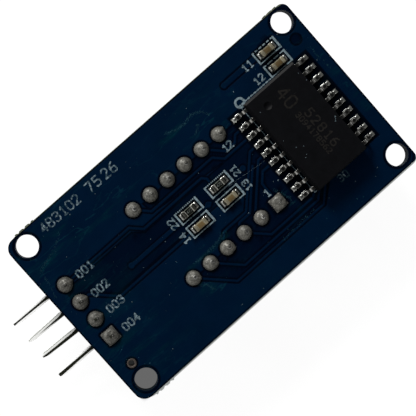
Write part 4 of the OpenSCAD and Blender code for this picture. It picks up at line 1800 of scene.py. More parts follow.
@dataclass
class Chip(Assembly):
    """The driver chip: body, marking, leads and their solder."""

    base: float
    lead_count: int = 10
    lead_w: float = 0.42
    lead_t: float = 0.25
    lead_edge_r: float = 0.035
    row_margin: float = 0.205
    bend_r: float = 0.3
    bend_steps: int = 6
    angle: float = 80.0
    foot_l: float = 0.56
    hidden_l: float = 0.5
    tip_shrink: Spot = (0.86, 0.8)
    # Painted reflection along each lead, section by section: dark where flat parts face the dark sky
    # overhead, lighter at the bends.
    inner_painted_reflection: tuple[float, ...] = (0.8, 0.75)
    first_bend_painted_reflection: tuple[float, ...] = (0.7, 0.5, 0.1, 0.0, 0.2, 0.6, 0.8)
    second_bend_painted_reflection: tuple[float, ...] = (0.85, 0.8, 0.6, 0.2, 0.0, 0.0, 0.25)
    foot_painted_reflection: tuple[float, ...] = (0.75, 0.85, 0.5, 0.3, 0.3)
    draft: float = 0.22
    corner_r: float = 0.12
    sink: float = 0.006
    mark: Triple = (12.3, 3.9, 0.46)
    mark_depth: float = 0.24
    solder_reach: float = 0.5
    solder_back: float = 0.22
    solder_half_w: float = 0.335
    solder_rise: float = 0.24
    solder_cells: tuple[int, int] = (33, 19)
    # Painted shade on the lead solder: beside and under the foot, and a little past the outer row's tips.
    foot_solder_painted_shade: float = 0.72
    outer_row_painted_shade: float = 0.12
    marking: tuple[Number, ...] = (
        Number("40", 13.8, 4.3, 1.45, -90, 0.2),
        Number("52816", 14.8, 0.6, 1.0, -90, 0.17, 1.06),
        Number("3094178562", 13.9, 1.1, 0.6, -90, 0.12, 0.97),
    )
    rng: random.Random = field(default_factory=lambda: random.Random(5))

    def __post_init__(self) -> None:
        """Reads the chip's places from the CAD model."""
        self.body = box_of("chip_body")
        self.level = self.body.middle.z
        rows = box_of("chip_leads_inner")
        self.foot_z = rows.low.z + self.lead_t / 2
        pitch = (rows.size.y - 2 * self.row_margin) / (self.lead_count - 1)
        self.rows_y = [rows.high.y - self.row_margin - k * pitch for k in range(self.lead_count)]
        self.tips = {-1: rows.low.x, 1: box_of("chip_leads_outer").high.x}

    def _levels(self) -> list[Spot]:
        """The body's outline from below: heights, and how far each level draws in.

        Returns:
            The pairs.
        """
        low, high, level, draft = self.body.low.z, self.body.high.z, self.level, self.draft
        return [
            (low, draft + 0.03),
            (low + 0.05, draft),
            (level - 0.03, 0.01),
            (level, 0.0),
            (level + 0.03, 0.01),
            (high - 0.07, draft - 0.02),
            (high - 0.025, draft + 0.005),
            (high - self.sink, draft + 0.04),
        ]

    def _dip(self, p: Points) -> np.ndarray:
        """The height of the body's top, with its round mark."""
        hollow = np.clip(1 - (distance(p, self.mark[:2]) / self.mark[2]) ** 2, 0, 1) ** 0.9
        return self.body.high.z - self.sink - self.mark_depth * hollow

    def _body(self) -> None:
        """Meshes the moulded body with a soft edge and a round mark."""
        b, m = self.body, self.body.middle
        rings = []
        for z, inset in self._levels():
            ring = rounded_outline(b.size.x - 2 * inset, b.size.y - 2 * inset, self.corner_r)
            rings.append([(m.x + x, m.y + y, z) for x, y in ring])
        soup = Soup()
        soup.add(*loft(rings, has_end=False))
        edge = self.draft + 0.04
        half = (b.size.x / 2 - edge, b.size.y / 2 - edge)
        ring = self.mark[2] / 2
        sheet = Sheet(
            inside=lambda p: box_inside(p, (m.x, m.y), half, self.corner_r),
            height=self._dip,
            low=(b.low.x, b.low.y),
            high=(b.high.x, b.high.y),
            band=ring,
            edges=lambda p: np.abs(distance(p, self.mark[:2]) - ring),
            skirt=0.0,
        )
        p, z, tops = sheet.mesh()
        soup.add(np.column_stack([p, z]).tolist(), tops)
        self.palette.dress(soup.finish("chip_moulding", False), Paint.MOULDING, "chip_body")

    def _marking(self) -> None:
        """Prints faint plain numbers on the body."""
        b = self.body
        strokes = [stroke for number in self.marking for stroke in number.strokes()]
        printed = print_on(strokes, (b.low.x, b.low.y), (b.high.x, b.high.y), b.high.z - 0.002)
        self.palette.dress(printed.build("chip_marking")[0], Paint.CHIP_INK)

    def _lead_path(self, side: int, y: float) -> list[Vector]:
        """A lead's middle line, from inside the body to the tip of its foot.

        Args:
            side: Which way it points along X.
            y: Its place in the row.

        Returns:
            The line's points.
        """
        drop, a, r = self.level - self.foot_z, math.radians(self.angle), self.bend_r
        slope = (drop - 2 * r * (1 - math.cos(a))) / math.sin(a)
        tip = self.tips[side]
        heel = tip - side * self.foot_l
        start = heel - side * (2 * r * math.sin(a) + slope * math.cos(a))
        turns = [a * k / self.bend_steps for k in range(self.bend_steps + 1)]
        flat = [(start - side * self.hidden_l * share, self.level) for share in (1.0, 0.5)]
        flat += [(start + side * r * math.sin(t), self.level - r * (1 - math.cos(t))) for t in turns]
        flat += [(heel - side * r * math.sin(t), self.foot_z + r * (1 - math.cos(t))) for t in turns[::-1]]
        flat += [(heel + side * self.foot_l * share, self.foot_z) for share in (0.2, 0.45, 0.75)]
        flat += [(tip - side * 0.03, self.foot_z), (tip, self.foot_z)]
        return [Vector((x, y, z)) for x, z in flat]

    def _toe(self, p: Points, pad: Pad, foot: Pad, out: np.ndarray, rise: float) -> np.ndarray:
        """The height of a lead's solder: a pillow past the tip and low fillets beside the foot.

        Args:
            p: The points.
            pad: The solder's outline.
            foot: The foot's outline.
            out: How far each point lies past the tip.
            rise: The pillow's height.

        Returns:
            One height a point.
        """
        pillow = rise * np.clip(1 - (out / 0.56) ** 2, 0, 1) ** 0.7 * smooth(out / 0.12 + 1)
        bow = np.clip(1 - (np.abs(p[:, 1] - pad.y) / 0.38) ** 2.6, 0, 1)
        beside = 0.02 * np.clip(1 - np.maximum(-foot.near(p), 0) / 0.1, 0, 1)
        return smooth(pad.near(p) / 0.06) * (0.03 + np.maximum(pillow * bow, beside))

    def _lead(self, side: int, y: float, soup: Soup) -> None:
        """Adds one bent lead, darkened section by section as painted reflection.

        Args:
            side: Which way it points along X.
            y: Its place in the row.
            soup: The row's piece.
        """
        outline = rounded_outline(self.lead_w, self.lead_t, self.lead_edge_r)
        small = [(x * self.tip_shrink[0], z * self.tip_shrink[1]) for x, z in outline]
        path = self._lead_path(side, y)
        shape = sweep(path, Vector((0, side, 0)), [outline] * (len(path) - 1) + [small])
        # The lead's darkness by section is painted reflection.
        darks = self.inner_painted_reflection + self.first_bend_painted_reflection + self.second_bend_painted_reflection + self.foot_painted_reflection
        soup.add(*shape, tone=self.rng.random(), dark=np.repeat(darks, len(outline)))

    def _lead_solder(self, side: int, y: float, soup: Soup) -> None:
        """Adds the solder at one lead's foot, darkened beside and under the foot, and a little past the outer
        row's tips, as painted shade.

        Args:
            side: Which way the lead points along X.
            y: Its place in the row.
            soup: The solder's piece.
        """
        tip = self.tips[side]
        reach = self.solder_reach + self.rng.uniform(-0.04, 0.03)
        near, far = sorted((tip + side * reach, tip - side * (self.foot_l + self.solder_back)))
        y_pad = y + self.rng.uniform(-0.015, 0.015)
        pad = Pad((near + far) / 2, y_pad, (far - near) / 2, self.solder_half_w, 0.12)
        foot = Pad(tip - side * self.foot_l / 2, y, self.foot_l / 2, self.lead_w / 2, 0.0)
        rise = self.solder_rise + self.rng.uniform(-0.04, 0.05)
        raised = pad.raised(
            self.solder_cells, lambda p: self._toe(p, pad, foot, (p[:, 0] - tip) * side, rise), self.base
        )
        out = (np.array(raised[0])[:, 0] - tip) * side
        # Painted shade on the solder.
        dark = np.where(out < 0.03, self.foot_solder_painted_shade, max(side, 0) * self.outer_row_painted_shade)
        soup.add(*raised, tone=self.rng.random(), dark=dark)

    def build(self) -> None:
        """Makes the body, its marking, and both rows of leads with their solder."""
        self._body()
        self._marking()
        for side, word in ((-1, "inner"), (1, "outer")):
            leads, solder = Soup(), Soup()
            for y in self.rows_y:
                self._lead(side, y, leads)
                self._lead_solder(side, y, solder)
            self.palette.dress(leads.finish(f"chip_lead_row_{word}"), Paint.LEAD, f"chip_leads_{word}")
            self.palette.dress(solder.finish(f"chip_joints_{word}"), Paint.FRESH, f"chip_solder_{word}")


# Capacitors and resistors


@dataclass
class SmallParts(Assembly):
    """Chip capacitors and resistors with their metal ends and solder."""

    base: float
    capacitors: int = 4
    resistors: int = 2
    end_l: float = 0.36
    end_r: float = 0.075
    reach: float = 0.45
    pad_half_w: float = 0.45
    foot_half_w: float = 0.4
    solder_cells: tuple[int, int] = (29, 23)
    capacitor_climb: float = 0.26
    resistor_climb: float = 0.22
    block_inset: float = 0.06
    band_l: float = 0.15
    shaded: tuple[int, ...] = (1, 2)
    shade: float = 0.3
    resistor_number: str = "472"
    rng: random.Random = field(default_factory=lambda: random.Random(3))

    def _ends(self, name: str, paint: Paint) -> Box:
        """Meshes a part's two metal ends.

        Args:
            name: The part's node.
            paint: The ends' finish.

        Returns:
            The part's box.
        """
        box = box_of(f"{name}_ends")
        soup = Soup()
        for side in (-1, 1):
            outer = box.low.x if side < 0 else box.high.x
            inner = outer - side * (self.end_l + self.rng.uniform(-0.03, 0.03))
            low = (min(outer, inner), box.low.y, box.low.z)
            high = (max(outer, inner), box.high.y, box.high.z)
            soup.add(*rounded_block(low, high, self.end_r), tone=self.rng.random())
        self.palette.dress(soup.finish(f"{name}_caps"), paint, f"{name}_ends")
        return box

    def _bead(self, p: Points, pad: Pad, foot: Pad, rise: float) -> np.ndarray:
        """The height of a bead of solder at a part's end, with a groove between it and the part.

        Args:
            p: The points.
            pad: The solder's outline.
            foot: The part's end.
            rise: The bead's height.

        Returns:
            One height a point.
        """
        out = np.maximum(-foot.near(p), 0) / self.reach
        crest = smooth(out / 0.32) * np.clip(1 - ((out - 0.42) / 0.58) ** 2, 0, 1) ** 0.8
        bow = np.clip(1 - (np.abs(p[:, 1] - pad.y) / 0.46) ** 4, 0, 1)
        return smooth(pad.near(p) / 0.05) * (0.04 + rise * np.maximum(crest * bow, 0.25 * (out < 0.05)))

    def _solder(self, box: Box, soup: Soup, climb: float) -> None:
        """Adds the solder at a part's two ends.

        Args:
            box: The part's box.
            soup: The solder's piece.
            climb: The bead's usual height.
        """
        y = box.middle.y
        for side in (-1, 1):
            edge = box.low.x if side < 0 else box.high.x
            near, far = sorted((edge + side * self.reach, edge - side * self.end_l))
            pad = Pad((near + far) / 2, y, (far - near) / 2, self.pad_half_w, 0.12)
            foot = Pad(edge - side * self.end_l / 2, y, self.end_l / 2, self.foot_half_w, 0.0)
            rise = climb * (1 + self.rng.uniform(-0.15, 0.15))
            bead = pad.raised(self.solder_cells, lambda p: self._bead(p, pad, foot, rise), self.base)
            soup.add(*bead, tone=self.rng.random())

    @staticmethod
    def _block(
        name: str, low: Sequence[float], high: Sequence[float], radius: float, dark: float = 0.0
    ) -> Thing:
        """One block with soft edges.

        Args:
            name: Its name.
            low: Its lowest corner.
            high: Its highest corner.
            radius: Edge radius.
            dark: How far its colour goes to black.

        Returns:
            The object.
        """
        soup = Soup()
        soup.add(*rounded_block(low, high, radius), dark=dark)
        return soup.finish(name)

    def _capacitor(self, k: int, box: Box) -> None:
        """Meshes a capacitor's pale block and the brown core that shows on top.

        Args:
            k: Its number.
            box: Its box.
        """
        inset, m = self.block_inset, box.middle
        low = (box.low.x + inset, box.low.y + 0.025, box.low.z + 0.02)
        high = (box.high.x - inset, box.high.y - 0.025, box.high.z - 0.03)
        dark = self.shade if k in self.shaded else 0.0
        block = self._block(f"capacitor_{k}_block", low, high, 0.1, dark)
        self.palette.dress(block, Paint.CERAMIC, f"capacitor_{k}")
        low, high = (m.x - 0.4, m.y - 0.27, high[2] - 0.05), (m.x + 0.36, m.y + 0.25, high[2] + 0.01)
        self.palette.dress(self._block(f"capacitor_{k}_core", low, high, 0.01, dark), Paint.CORE)

    def _resistor(self, k: int, box: Box) -> None:
        """Meshes a resistor's white block, its black coat and a plain number.

        Args:
            k: Its number.
            box: Its box.
        """
        inset, m, top = self.block_inset, box.middle, box.high.z
        low = (box.low.x + inset, box.low.y + 0.02, box.low.z + 0.02)
        high = (box.high.x - inset, box.high.y - 0.02, top - 0.035)
        self.palette.dress(
            self._block(f"resistor_{k}_block", low, high, 0.03), Paint.ALUMINA, f"resistor_{k}"
        )
        bands = Soup()
        for side in (-1, 1):
            inner = (box.low.x if side < 0 else box.high.x) - side * 0.4
            x0, x1 = sorted((inner, inner + side * self.band_l))
            bands.add(*rounded_block((x0, box.low.y + 0.01, top - 0.05), (x1, box.high.y - 0.01, top), 0.02))
        self.palette.dress(bands.finish(f"resistor_{k}_bands"), Paint.BAND)
        low, high = (m.x - 0.44, box.low.y + 0.07, top - 0.06), (m.x + 0.44, box.high.y - 0.07, top - 0.008)
        self.palette.dress(self._block(f"resistor_{k}_coat", low, high, 0.02), Paint.COAT)
        strokes = Number(self.resistor_number, m.x - 0.3, m.y - 0.15, 0.3, 0, 0.06, 0.74).strokes()
        printed = print_on(strokes, (m.x - 0.5, m.y - 0.35), (m.x + 0.5, m.y + 0.35), top - 0.004, 0.2, 0.003)
        self.palette.dress(printed.build(f"resistor_{k}_number")[0], Paint.PART_INK)

    def build(self) -> None:
        """Makes the capacitors, the resistors and their solder."""
        kinds = (
            ("capacitor", self.capacitors, Paint.PART_END, self.capacitor_climb, self._capacitor),
            ("resistor", self.resistors, Paint.DARK_END, self.resistor_climb, self._resistor),
        )
        for word, count, paint, climb, body in kinds:
            solder = Soup()
            for k in range(1, count + 1):
                box = self._ends(f"{word}_{k}", paint)
                self._solder(box, solder, climb)
                body(k, box)
            self.palette.dress(solder.finish(f"{word}_joints"), Paint.FRESH, f"{word}_solder")


# Header, lined hole, specks


@dataclass(frozen=True)
class Streak:
    """The dark reflection along a header pin: where it runs and how wide it is, by half."""

    middle: float
    at_board: float
    at_tip: float
    end: float


@dataclass
class Header(Assembly):
    """The bent header pins."""

    edge_x: float = -19.8
    side: float = 0.64
    edge_r: float = 0.02
    flat_step: float = 0.05
    bend_r: float = 0.8
    bend_steps: int = 8
    reach: float = 6.95
    reach_steps: int = 16
    tip_l: float = 0.9
    top_size: float = 0.45
    tip_sizes: tuple[Spot, ...] = (
        (0.6, 0.88), (0.42, 0.78), (0.27, 0.68), (0.24, 0.66), (0.1, 0.55), (0.01, 0.42),
    )
    leans: tuple[float, ...] = (1.8, 2.0, 3.3, 0.7)
    streaks: tuple[Streak, ...] = (
        Streak(0.0, 0.15, 0.10, 0.13),
        Streak(-0.13, 0.19, -0.05, -0.1),
        Streak(-0.13, 0.21, 0.13, 0.13),
        Streak(0.0, 0.15, 0.21, 0.3),
    )
    # Near the board's edge the streak widens into a painted shadow of the board.
    board_shadow_half: float = 0.27
    board_shadow_from: float = 0.1
    board_shadow_l: float = 0.8
    end_l: float = 0.25

    @property
    def end(self) -> float:
        """Where a pin ends, measured along it from its hole."""
        return -self.bend_r - self.reach

    def _middle_line(self, box: Box) -> list[Spot]:
        """A pin's middle line, as (along, height) pairs from its top to its tip.

        Args:
            box: The pin's box.

        Returns:
            The pairs.
        """
        axis_z, r = box.low.z + self.side / 2, self.bend_r
        line = [(0.0, box.high.z - 0.02), (0.0, box.high.z - 0.45), (0.0, box_of("header_block").low.z)]
        for step in range(1, self.bend_steps + 1):
            t = math.pi / 2 * step / self.bend_steps
            line.append((-r * (1 - math.cos(t)), axis_z + r * (1 - math.sin(t))))
        straight = self.end + self.tip_l + r
        line += [(-r + straight * step / self.reach_steps, axis_z) for step in range(1, self.reach_steps + 1)]
        return line + [(self.end + out, axis_z) for out, _ in self.tip_sizes]

    def _outline(self) -> list[Spot]:
        """A pin's section, with extra points along its flats.

        Returns:
            The outline's points.
        """
        corners = rounded_outline(self.side, self.side, self.edge_r)
        made = []
        for (x0, z0), (x1, z1) in zip(corners, corners[1:] + corners[:1]):
            count = max(1, round(math.hypot(x1 - x0, z1 - z0) / self.flat_step))
            made += [(x0 + (x1 - x0) * i / count, z0 + (z1 - z0) * i / count) for i in range(count)]
        return made

    def _in_streak(self, streak: Streak, x: float, across: float, tip_x: float) -> float:
        """How far inside the dark streak a pin's surface lies: a painted reflection, widened near the board
        into a painted shadow of the board.

        Args:
            streak: The pin's streak.
            x: Place along the board.
            across: Place across the pin.
            tip_x: Where the pin ends.

        Returns:
            Positive inside the streak, in millimetres.
        """
        out = self.edge_x - x
        share = min(max(out / (self.edge_x - tip_x), 0.0), 1.0)
        width = streak.at_board + (streak.at_tip - streak.at_board) * share
        board_shadow = 1 - min(max((out - self.board_shadow_from) / self.board_shadow_l, 0.0), 1.0)
        width += (self.board_shadow_half - width) * board_shadow
        if x - tip_x < self.end_l:
            width = streak.end
        return width - abs(across - streak.middle * (1 - board_shadow))

    def build(self) -> None:
        """Meshes each pin with softened edges and a tapered tip."""
        outline = self._outline()
        strongest = max(abs(streak.middle) for streak in self.streaks)
        for k, (lean, streak) in enumerate(zip(self.leans, self.streaks), 1):
            hole = box_of(f"header_solder_{k}").middle
            turn = Matrix.Rotation(math.radians(-lean), 3, "Z")
            line = self._middle_line(box_of(f"header_pin_{k}"))
            path = [turn @ Vector((x, 0, 0)) + Vector((hole.x, hole.y, z)) for x, z in line]
            plain = len(line) - 1 - len(self.tip_sizes)
            sizes = [self.top_size] + [1.0] * plain + [size for _, size in self.tip_sizes]
            sections = [[(x * size, z * size) for x, z in outline] for size in sizes]
            soup = Soup()
            soup.add(*sweep(path, turn @ Vector((0, 1, 0)), sections), tone=abs(streak.middle) / strongest)
            made = soup.finish(f"header_pin_{k}_shaft")
            places = [(at.x, across * size) for at, size in zip(path, sizes) for across, _ in outline]
            tip_x = self.end + hole.x
            inside = [self._in_streak(streak, x, across, tip_x) for x, across in places]
            # The streak values paint the dark reflection and, near the board, the board's shadow.
            add_values(made, "streak", np.array(inside))
            self.palette.dress(made, Paint.PIN, f"header_pin_{k}")


@dataclass
class Lining(Assembly):
    """The tinned lining of the small hole beside the header."""

    bore: float = 0.33
    drill: float = 0.4
    soft: float = 0.04
    turns: int = 40

    def build(self) -> None:
        """Spins the lining's section, with its two rounded flanges, round the hole."""
        box = box_of("tinned_hole")
        outer, low, high = box.size.x / 2, box.low.z, box.high.z
        profile = (
            (self.bore, low + 0.03),
            (self.bore + self.soft, low),
            (outer - self.soft, low),
            (outer, low + self.soft),
            (self.drill, low + 0.06),
            (self.drill, high - 0.06),
            (outer, high - self.soft),
            (outer - self.soft, high),
            (self.bore + 0.05, high),
            (self.bore, high - 0.05),
        )
        ring, faces = spun(profile, self.turns, is_closed=True)
        soup = Soup()
        soup.add([(box.middle.x + x, box.middle.y + y, z) for x, y, z in ring], faces)
        self.palette.dress(soup.finish("tinned_lining"), Paint.LINING, "tinned_hole")


@dataclass
class Specks(Assembly):
    """Dust, solder crumbs and dried flux that the photograph shows."""

    plan: CopperPlan
    chip_top: float
    count: int = 100
    dust_sizes: Spot = (0.018, 0.036)
    turns: int = 9
    shoulder: Spot = (0.6, 0.8)
    sink: float = 0.004
    rise_share: float = 0.45
    chip_rise: float = 0.008
    crumbs: tuple[Triple, ...] = (
        (-13.2, -2.5, 0.09), (-13.3, -9.45, 0.09), (-3.45, 9.6, 0.045), (-3.5, 8.8, 0.04),
        (-15.5, 2.78, 0.08), (5.55, 9.6, 0.07), (-8.3, 9.2, 0.06), (-11.9, 9.3, 0.07),
        (-15.3, 6.05, 0.07), (-7.05, 1.35, 0.08), (-6.0, 0.05, 0.08), (-9.7, -0.5, 0.06),
        (-6.6, -2.4, 0.06), (-4.2, -10.95, 0.08), (-1.25, -11.2, 0.05), (-9.6, -4.7, 0.06),
        (1.8, 3.3, 0.06), (0.5, -1.85, 0.06), (3.1, -3.75, 0.08), (8.0, -3.2, 0.1),
        (7.5, -2.95, 0.06), (14.5, -9.1, 0.07), (17.4, -9.6, 0.09), (16.6, -10.2, 0.08),
        (18.7, 9.1, 0.08), (20.2, 4.0, 0.07), (10.75, 7.5, 0.08), (11.0, -8.5, 0.05),
    )
    chip_crumbs: tuple[Triple, ...] = (
        (12.35, -2.05, 0.07), (11.65, -1.6, 0.08), (12.0, -2.95, 0.07), (11.7, -3.15, 0.06),
        (17.15, -1.95, 0.12), (16.85, -2.3, 0.10), (17.0, -2.15, 0.09), (11.2, 3.9, 0.06),
        (17.2, 4.35, 0.06), (17.4, 3.2, 0.06), (11.05, -0.15, 0.06),
    )
    trails: tuple[tuple[Line, int], ...] = (
        (
            (
                (1.9, 9.0), (2.7, 8.7), (3.3, 8.55), (4.3, 8.5), (5.2, 8.75), (6.0, 8.6), (6.7, 8.05),
                (7.05, 7.3),
            ),
            110,
        ),
        (((-5.2, -3.9), (-3.9, -4.0), (-2.4, -3.95), (-0.5, -3.55)), 70),
        (((-6.3, -6.25), (-5.7, -6.7), (-5.35, -7.7)), 30),
        (((6.9, -3.7), (7.4, -4.7), (7.7, -5.6), (7.5, -6.4)), 40),
        (((-19.2, 3.3), (-18.3, 6.9), (-15.9, 7.5), (-13.9, 8.6)), 60),
        (((20.6, 5.6), (20.6, 4.3), (20.75, 2.2)), 22),
        (((4.4, 6.8), (5.4, 7.3), (5.1, 7.6)), 20),
        (((4.0, -8.6), (9.0, -8.3)), 26),
    )
    trail_spread: float = 0.09
    scratch: Line = ((3.2, -0.02), (4.6, -0.12), (6.3, -0.33), (8.25, -0.56))
    scratch_steps: int = 26
    scratch_share: float = 0.75
    rng: random.Random = field(default_factory=lambda: random.Random(17))

    def __post_init__(self) -> None:
        """Spins the disc that every crumb is shaped from."""
        self._disc, self._faces = spun([(0.0, 1.0), self.shoulder, (1.0, 0.0)], self.turns)

    def _flake(self, place: Sequence[float], radius: float, rise: float) -> Shape:
        """A low, uneven crumb.

        Args:
            place: Where it lies: X, Y and height.
            radius: Its usual radius.
            rise: Its height.

        Returns:
            Vertices and faces.
        """
        x, y, z = place
        reach = [radius * self.rng.uniform(0.6, 1.2) for _ in range(self.turns)]
        turn = self.rng.uniform(0, 6.28)
        stretch = self.rng.uniform(0.6, 1.0)
        c, s = math.cos(turn), math.sin(turn)
        vertices = []
        for along, across, share in self._disc:
            k = round(math.atan2(across, along) / math.tau * self.turns) % self.turns
            u, v = reach[k] * along, reach[k] * across * stretch
            height = rise * share if share > 0 else -self.sink
            vertices.append((x + u * c - v * s, y + u * s + v * c, z + height))
        return vertices, self._faces

    def _on_mask(self, x: float, y: float) -> Triple:
        """A place on the mask's surface."""
        return x, y, float(self.plan.height(np.array([(x, y)]))[0])

    def _dust(self, soup: Soup) -> None:
        """Scatters the crumbs on the mask and on the chip.

        Args:
            soup: The specks' piece.
        """
        spots = list(self.crumbs)
        low, high = self.plan.board.low, self.plan.board.high
        while len(spots) < self.count:
            x, y = self.rng.uniform(low.x, high.x), self.rng.uniform(low.y, high.y)
            spots.append((x, y, self.rng.uniform(*self.dust_sizes)))
        p = np.array([(x, y) for x, y, _ in spots])
        for (x, y, r), inside, z in zip(spots, self.plan.board_inside(p), self.plan.height(p)):
            if inside > 0.15:
                soup.add(*self._flake((x, y, z), r, r * self.rise_share), tone=self.rng.random())
        rise = self.chip_rise
        for x, y, r in self.chip_crumbs:
            soup.add(*self._flake((x, y, self.chip_top - rise), r * 1.2, rise), tone=self.rng.random())

    def _scratch(self, soup: Soup) -> None:
        """Lays the broken pale scratch beside the chip.

        Args:
            soup: The specks' piece.
        """
        for a, b in zip(self.scratch, self.scratch[1:]):
            for t in np.linspace(0, 1, self.scratch_steps):
                x, y = a[0] + (b[0] - a[0]) * t, a[1] + (b[1] - a[1]) * t + self.rng.gauss(0, 0.012)
                if self.rng.random() < self.scratch_share:
                    place = self._on_mask(x, y)
                    soup.add(*self._flake(place, self.rng.uniform(0.02, 0.045), 0.01), tone=self.rng.random())

    def _flux(self, soup: Soup) -> None:
        """Lays dried flux in crumbs along the trails.

        Args:
            soup: The residue's piece.
        """
        for line, count in self.trails:
            lengths = [math.dist(a, b) for a, b in zip(line, line[1:])]
            for _ in range(count * 3):
                k = self.rng.choices(range(len(lengths)), lengths)[0]
                t = self.rng.random()
                (x0, y0), (x1, y1) = line[k], line[k + 1]
                x = x0 + (x1 - x0) * t + self.rng.gauss(0, self.trail_spread)
                y = y0 + (y1 - y0) * t + self.rng.gauss(0, self.trail_spread)
                if self.plan.board_inside(np.array([(x, y)]))[0] > 0.1:
                    place = self._on_mask(x, y)
                    soup.add(*self._flake(place, self.rng.uniform(0.02, 0.06), 0.006), tone=self.rng.random())

    def build(self) -> None:
        """Makes the specks, the scratch and the residue."""
        soup = Soup()
        self._dust(soup)
        self._scratch(soup)
        self.palette.dress(soup.finish("specks", False), Paint.SPECK)
        soup = Soup()
        self._flux(soup)
        self.palette.dress(soup.finish("flux_residue", False), Paint.RESIDUE)


# Studio


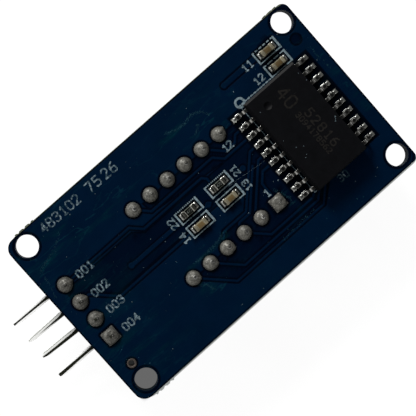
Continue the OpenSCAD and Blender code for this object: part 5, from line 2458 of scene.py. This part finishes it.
@dataclass(frozen=True)
class Studio:
    """Camera, floor, lamp and sky."""

    camera_at: Triple = (-7.152, 8.848, 147.168)
    right: Triple = (0.74671, -0.66002, 0.08245)
    up: Triple = (0.66313, 0.74835, -0.01502)
    lens: float = 107.74
    lamp_from: Triple = (0.12, 0.82, 0.56)
    lamp_away: float = 0.5
    lamp_size: float = 0.15
    lamp_power: float = 2.43
    floor_half: float = 3.0
    # The shadow painted on the floor under the board: its corners, edge widths and depths.
    shade_low: Spot = (-20.5, -13.2)
    shade_high: Spot = (19.5, 8.0)
    shade_rise: float = 0.7
    shade_fall: float = 4.0
    shade_depth: Spot = (0.86, 0.98)

    def build(self) -> None:
        """Sets up the scene round the object."""
        self._camera()
        self._floor()
        self._lamp()
        self._sky()
        bpy.context.scene.view_settings.view_transform = "Standard"

    def _camera(self) -> None:
        """Places the camera where the photograph was taken from."""
        data = bpy.data.cameras.new("camera")
        data.lens, data.sensor_width, data.sensor_fit = self.lens, 36.0, "HORIZONTAL"
        data.clip_start, data.clip_end = 0.005, 20.0
        camera = bpy.data.objects.new("camera", data)
        right = Vector(self.right).normalized()
        up = Vector(self.up)
        up = (up - right * up.dot(right)).normalized()
        turn = Matrix((right, up, right.cross(up))).transposed().to_4x4()
        camera.matrix_world = Matrix.Translation(Vector(self.camera_at) * MM) @ turn
        bpy.context.scene.collection.objects.link(camera)
        bpy.context.scene.camera = camera

    def _floor(self) -> None:
        """Lays a pale floor that keeps the object's shadow, with a shadow painted under the board."""
        h = self.floor_half / MM
        floor = new_object("floor", [(-h, -h, 0), (h, -h, 0), (h, h, 0), (-h, h, 0)], [(0, 1, 2, 3)])
        made = bpy.data.materials.new("floor")
        made.use_nodes = True
        made.node_tree.nodes.clear()
        g = Graph(made.node_tree)
        path = g.add("LightPath")
        rays = [path.outputs[f"Is {kind} Ray"] for kind in ("Camera", "Glossy", "Transmission")]
        seen = g.math("MAXIMUM", rays[0], g.math("MAXIMUM", rays[1], rays[2]))
        grain = g.spread(g.noise(g.place(), 60.0, 3.0), 0.3, 0.7, 0.98, 1.0)
        # The floor is dimmed by the painted shadow.
        outside_painted_shadow = g.times(grain, self._outside_painted_shadow(g))
        share = g.times(outside_painted_shadow, g.math("MULTIPLY_ADD", seen, -0.36, 0.5))
        matt = g.add("BsdfDiffuse", {"Color": g.grey(share)})
        strength = g.times(seen, g.times(outside_painted_shadow, 0.94))
        glow = g.add("Emission", {"Color": (1.0, 1.0, 1.0), "Strength": strength})
        both = g.add("AddShader", {0: matt.outputs[0], 1: glow.outputs[0]})
        g.feed(g.add("OutputMaterial").inputs["Surface"], both.outputs[0])
        floor.data.materials.append(made)

    def _outside_painted_shadow(self, g: Graph) -> Socket:
        """How far the floor lies outside the shadow painted under the board, which is darkest round the
        display.

        Args:
            g: The floor material's graph.

        Returns:
            A factor from dim to 1.
        """
        parts = g.parts(g.place())
        made = 1.0
        for axis, low, high in zip("XY", self.shade_low, self.shade_high):
            rise = g.spread(parts[axis], low * MM, (low + self.shade_rise) * MM)
            fall = g.spread(parts[axis], (high - self.shade_fall) * MM, high * MM, 1.0, 0.0)
            made = g.times(made, g.times(rise, fall))
        depth = g.spread(parts["Y"], -9.7 * MM, -9.1 * MM, *self.shade_depth)
        depth = g.times(depth, g.spread(parts["X"], -16.0 * MM, -5.0 * MM, 1.0, 0.6))
        return g.math("SUBTRACT", 1.0, g.times(made, depth))

    def _lamp(self) -> None:
        """Hangs a soft lamp up on the +Y side."""
        data = bpy.data.lights.new("lamp", "AREA")
        data.shape, data.size, data.energy = "DISK", self.lamp_size, self.lamp_power
        lamp = bpy.data.objects.new("lamp", data)
        away = Vector(self.lamp_from).normalized()
        lamp.location = away * self.lamp_away
        lamp.rotation_mode = "QUATERNION"
        lamp.rotation_quaternion = away.to_track_quat("Z", "Y")
        bpy.context.scene.collection.objects.link(lamp)

    @staticmethod
    def _sky() -> None:
        """Lights the scene softly, dark overhead and brighter on the header's side."""
        world = bpy.data.worlds.new("sky")
        bpy.context.scene.world = world
        world.use_nodes = True
        world.node_tree.nodes.clear()
        g = Graph(world.node_tree)
        parts = g.parts(g.add("TexCoord").outputs["Generated"])
        overhead = g.spread(parts["Z"], 0.62, 0.93, 0.69, 0.05)
        side = g.math("MULTIPLY_ADD", parts["X"], -0.75, g.math("MULTIPLY_ADD", parts["Y"], 0.2, 1.0))
        light = g.times(overhead, side)
        seen = g.add("LightPath").outputs["Is Camera Ray"]
        strength = g.math("MULTIPLY_ADD", g.math("SUBTRACT", 1.0, light), seen, light)
        sky = g.add("Background", {"Color": (1.0, 1.0, 1.0), "Strength": strength})
        g.feed(g.add("OutputWorld").inputs["Surface"], sky.outputs[0])


CAD_FINISHES: dict[str, Paint] = {
    "circuit_board": Paint.BOARD,
    "header_block": Paint.HEADER,
    "display_housing": Paint.HOUSING,
    "display_inner_board": Paint.INNER,
    "light_chips": Paint.DIE,
    "display_back_resin": Paint.BACK,
    "colon_resin": Paint.MILKY,
    **{f"digit_{k}_resin": Paint.MILKY for k in range(1, 5)},
    **{f"display_pin_{k}": Paint.LEAD for k in range(1, 13)},
}


def main() -> None:
    """Builds the whole scene."""
    logging.basicConfig(level=logging.INFO, format="%(message)s")
    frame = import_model()
    palette = Palette()
    for name, paint in CAD_FINISHES.items():
        palette.coat(frame["nodes"][name], paint)
    plan = CopperPlan()
    base = plan.board.high.z
    BoardFace(palette, plan).build()
    Legend(palette, plan).build()
    Joints(palette, base).build()
    Chip(palette, base).build()
    SmallParts(palette, base).build()
    Header(palette).build()
    Lining(palette).build()
    Specks(palette, plan, box_of("chip_body").high.z).build()
    Studio().build()


if __name__ == "__main__":
    main()
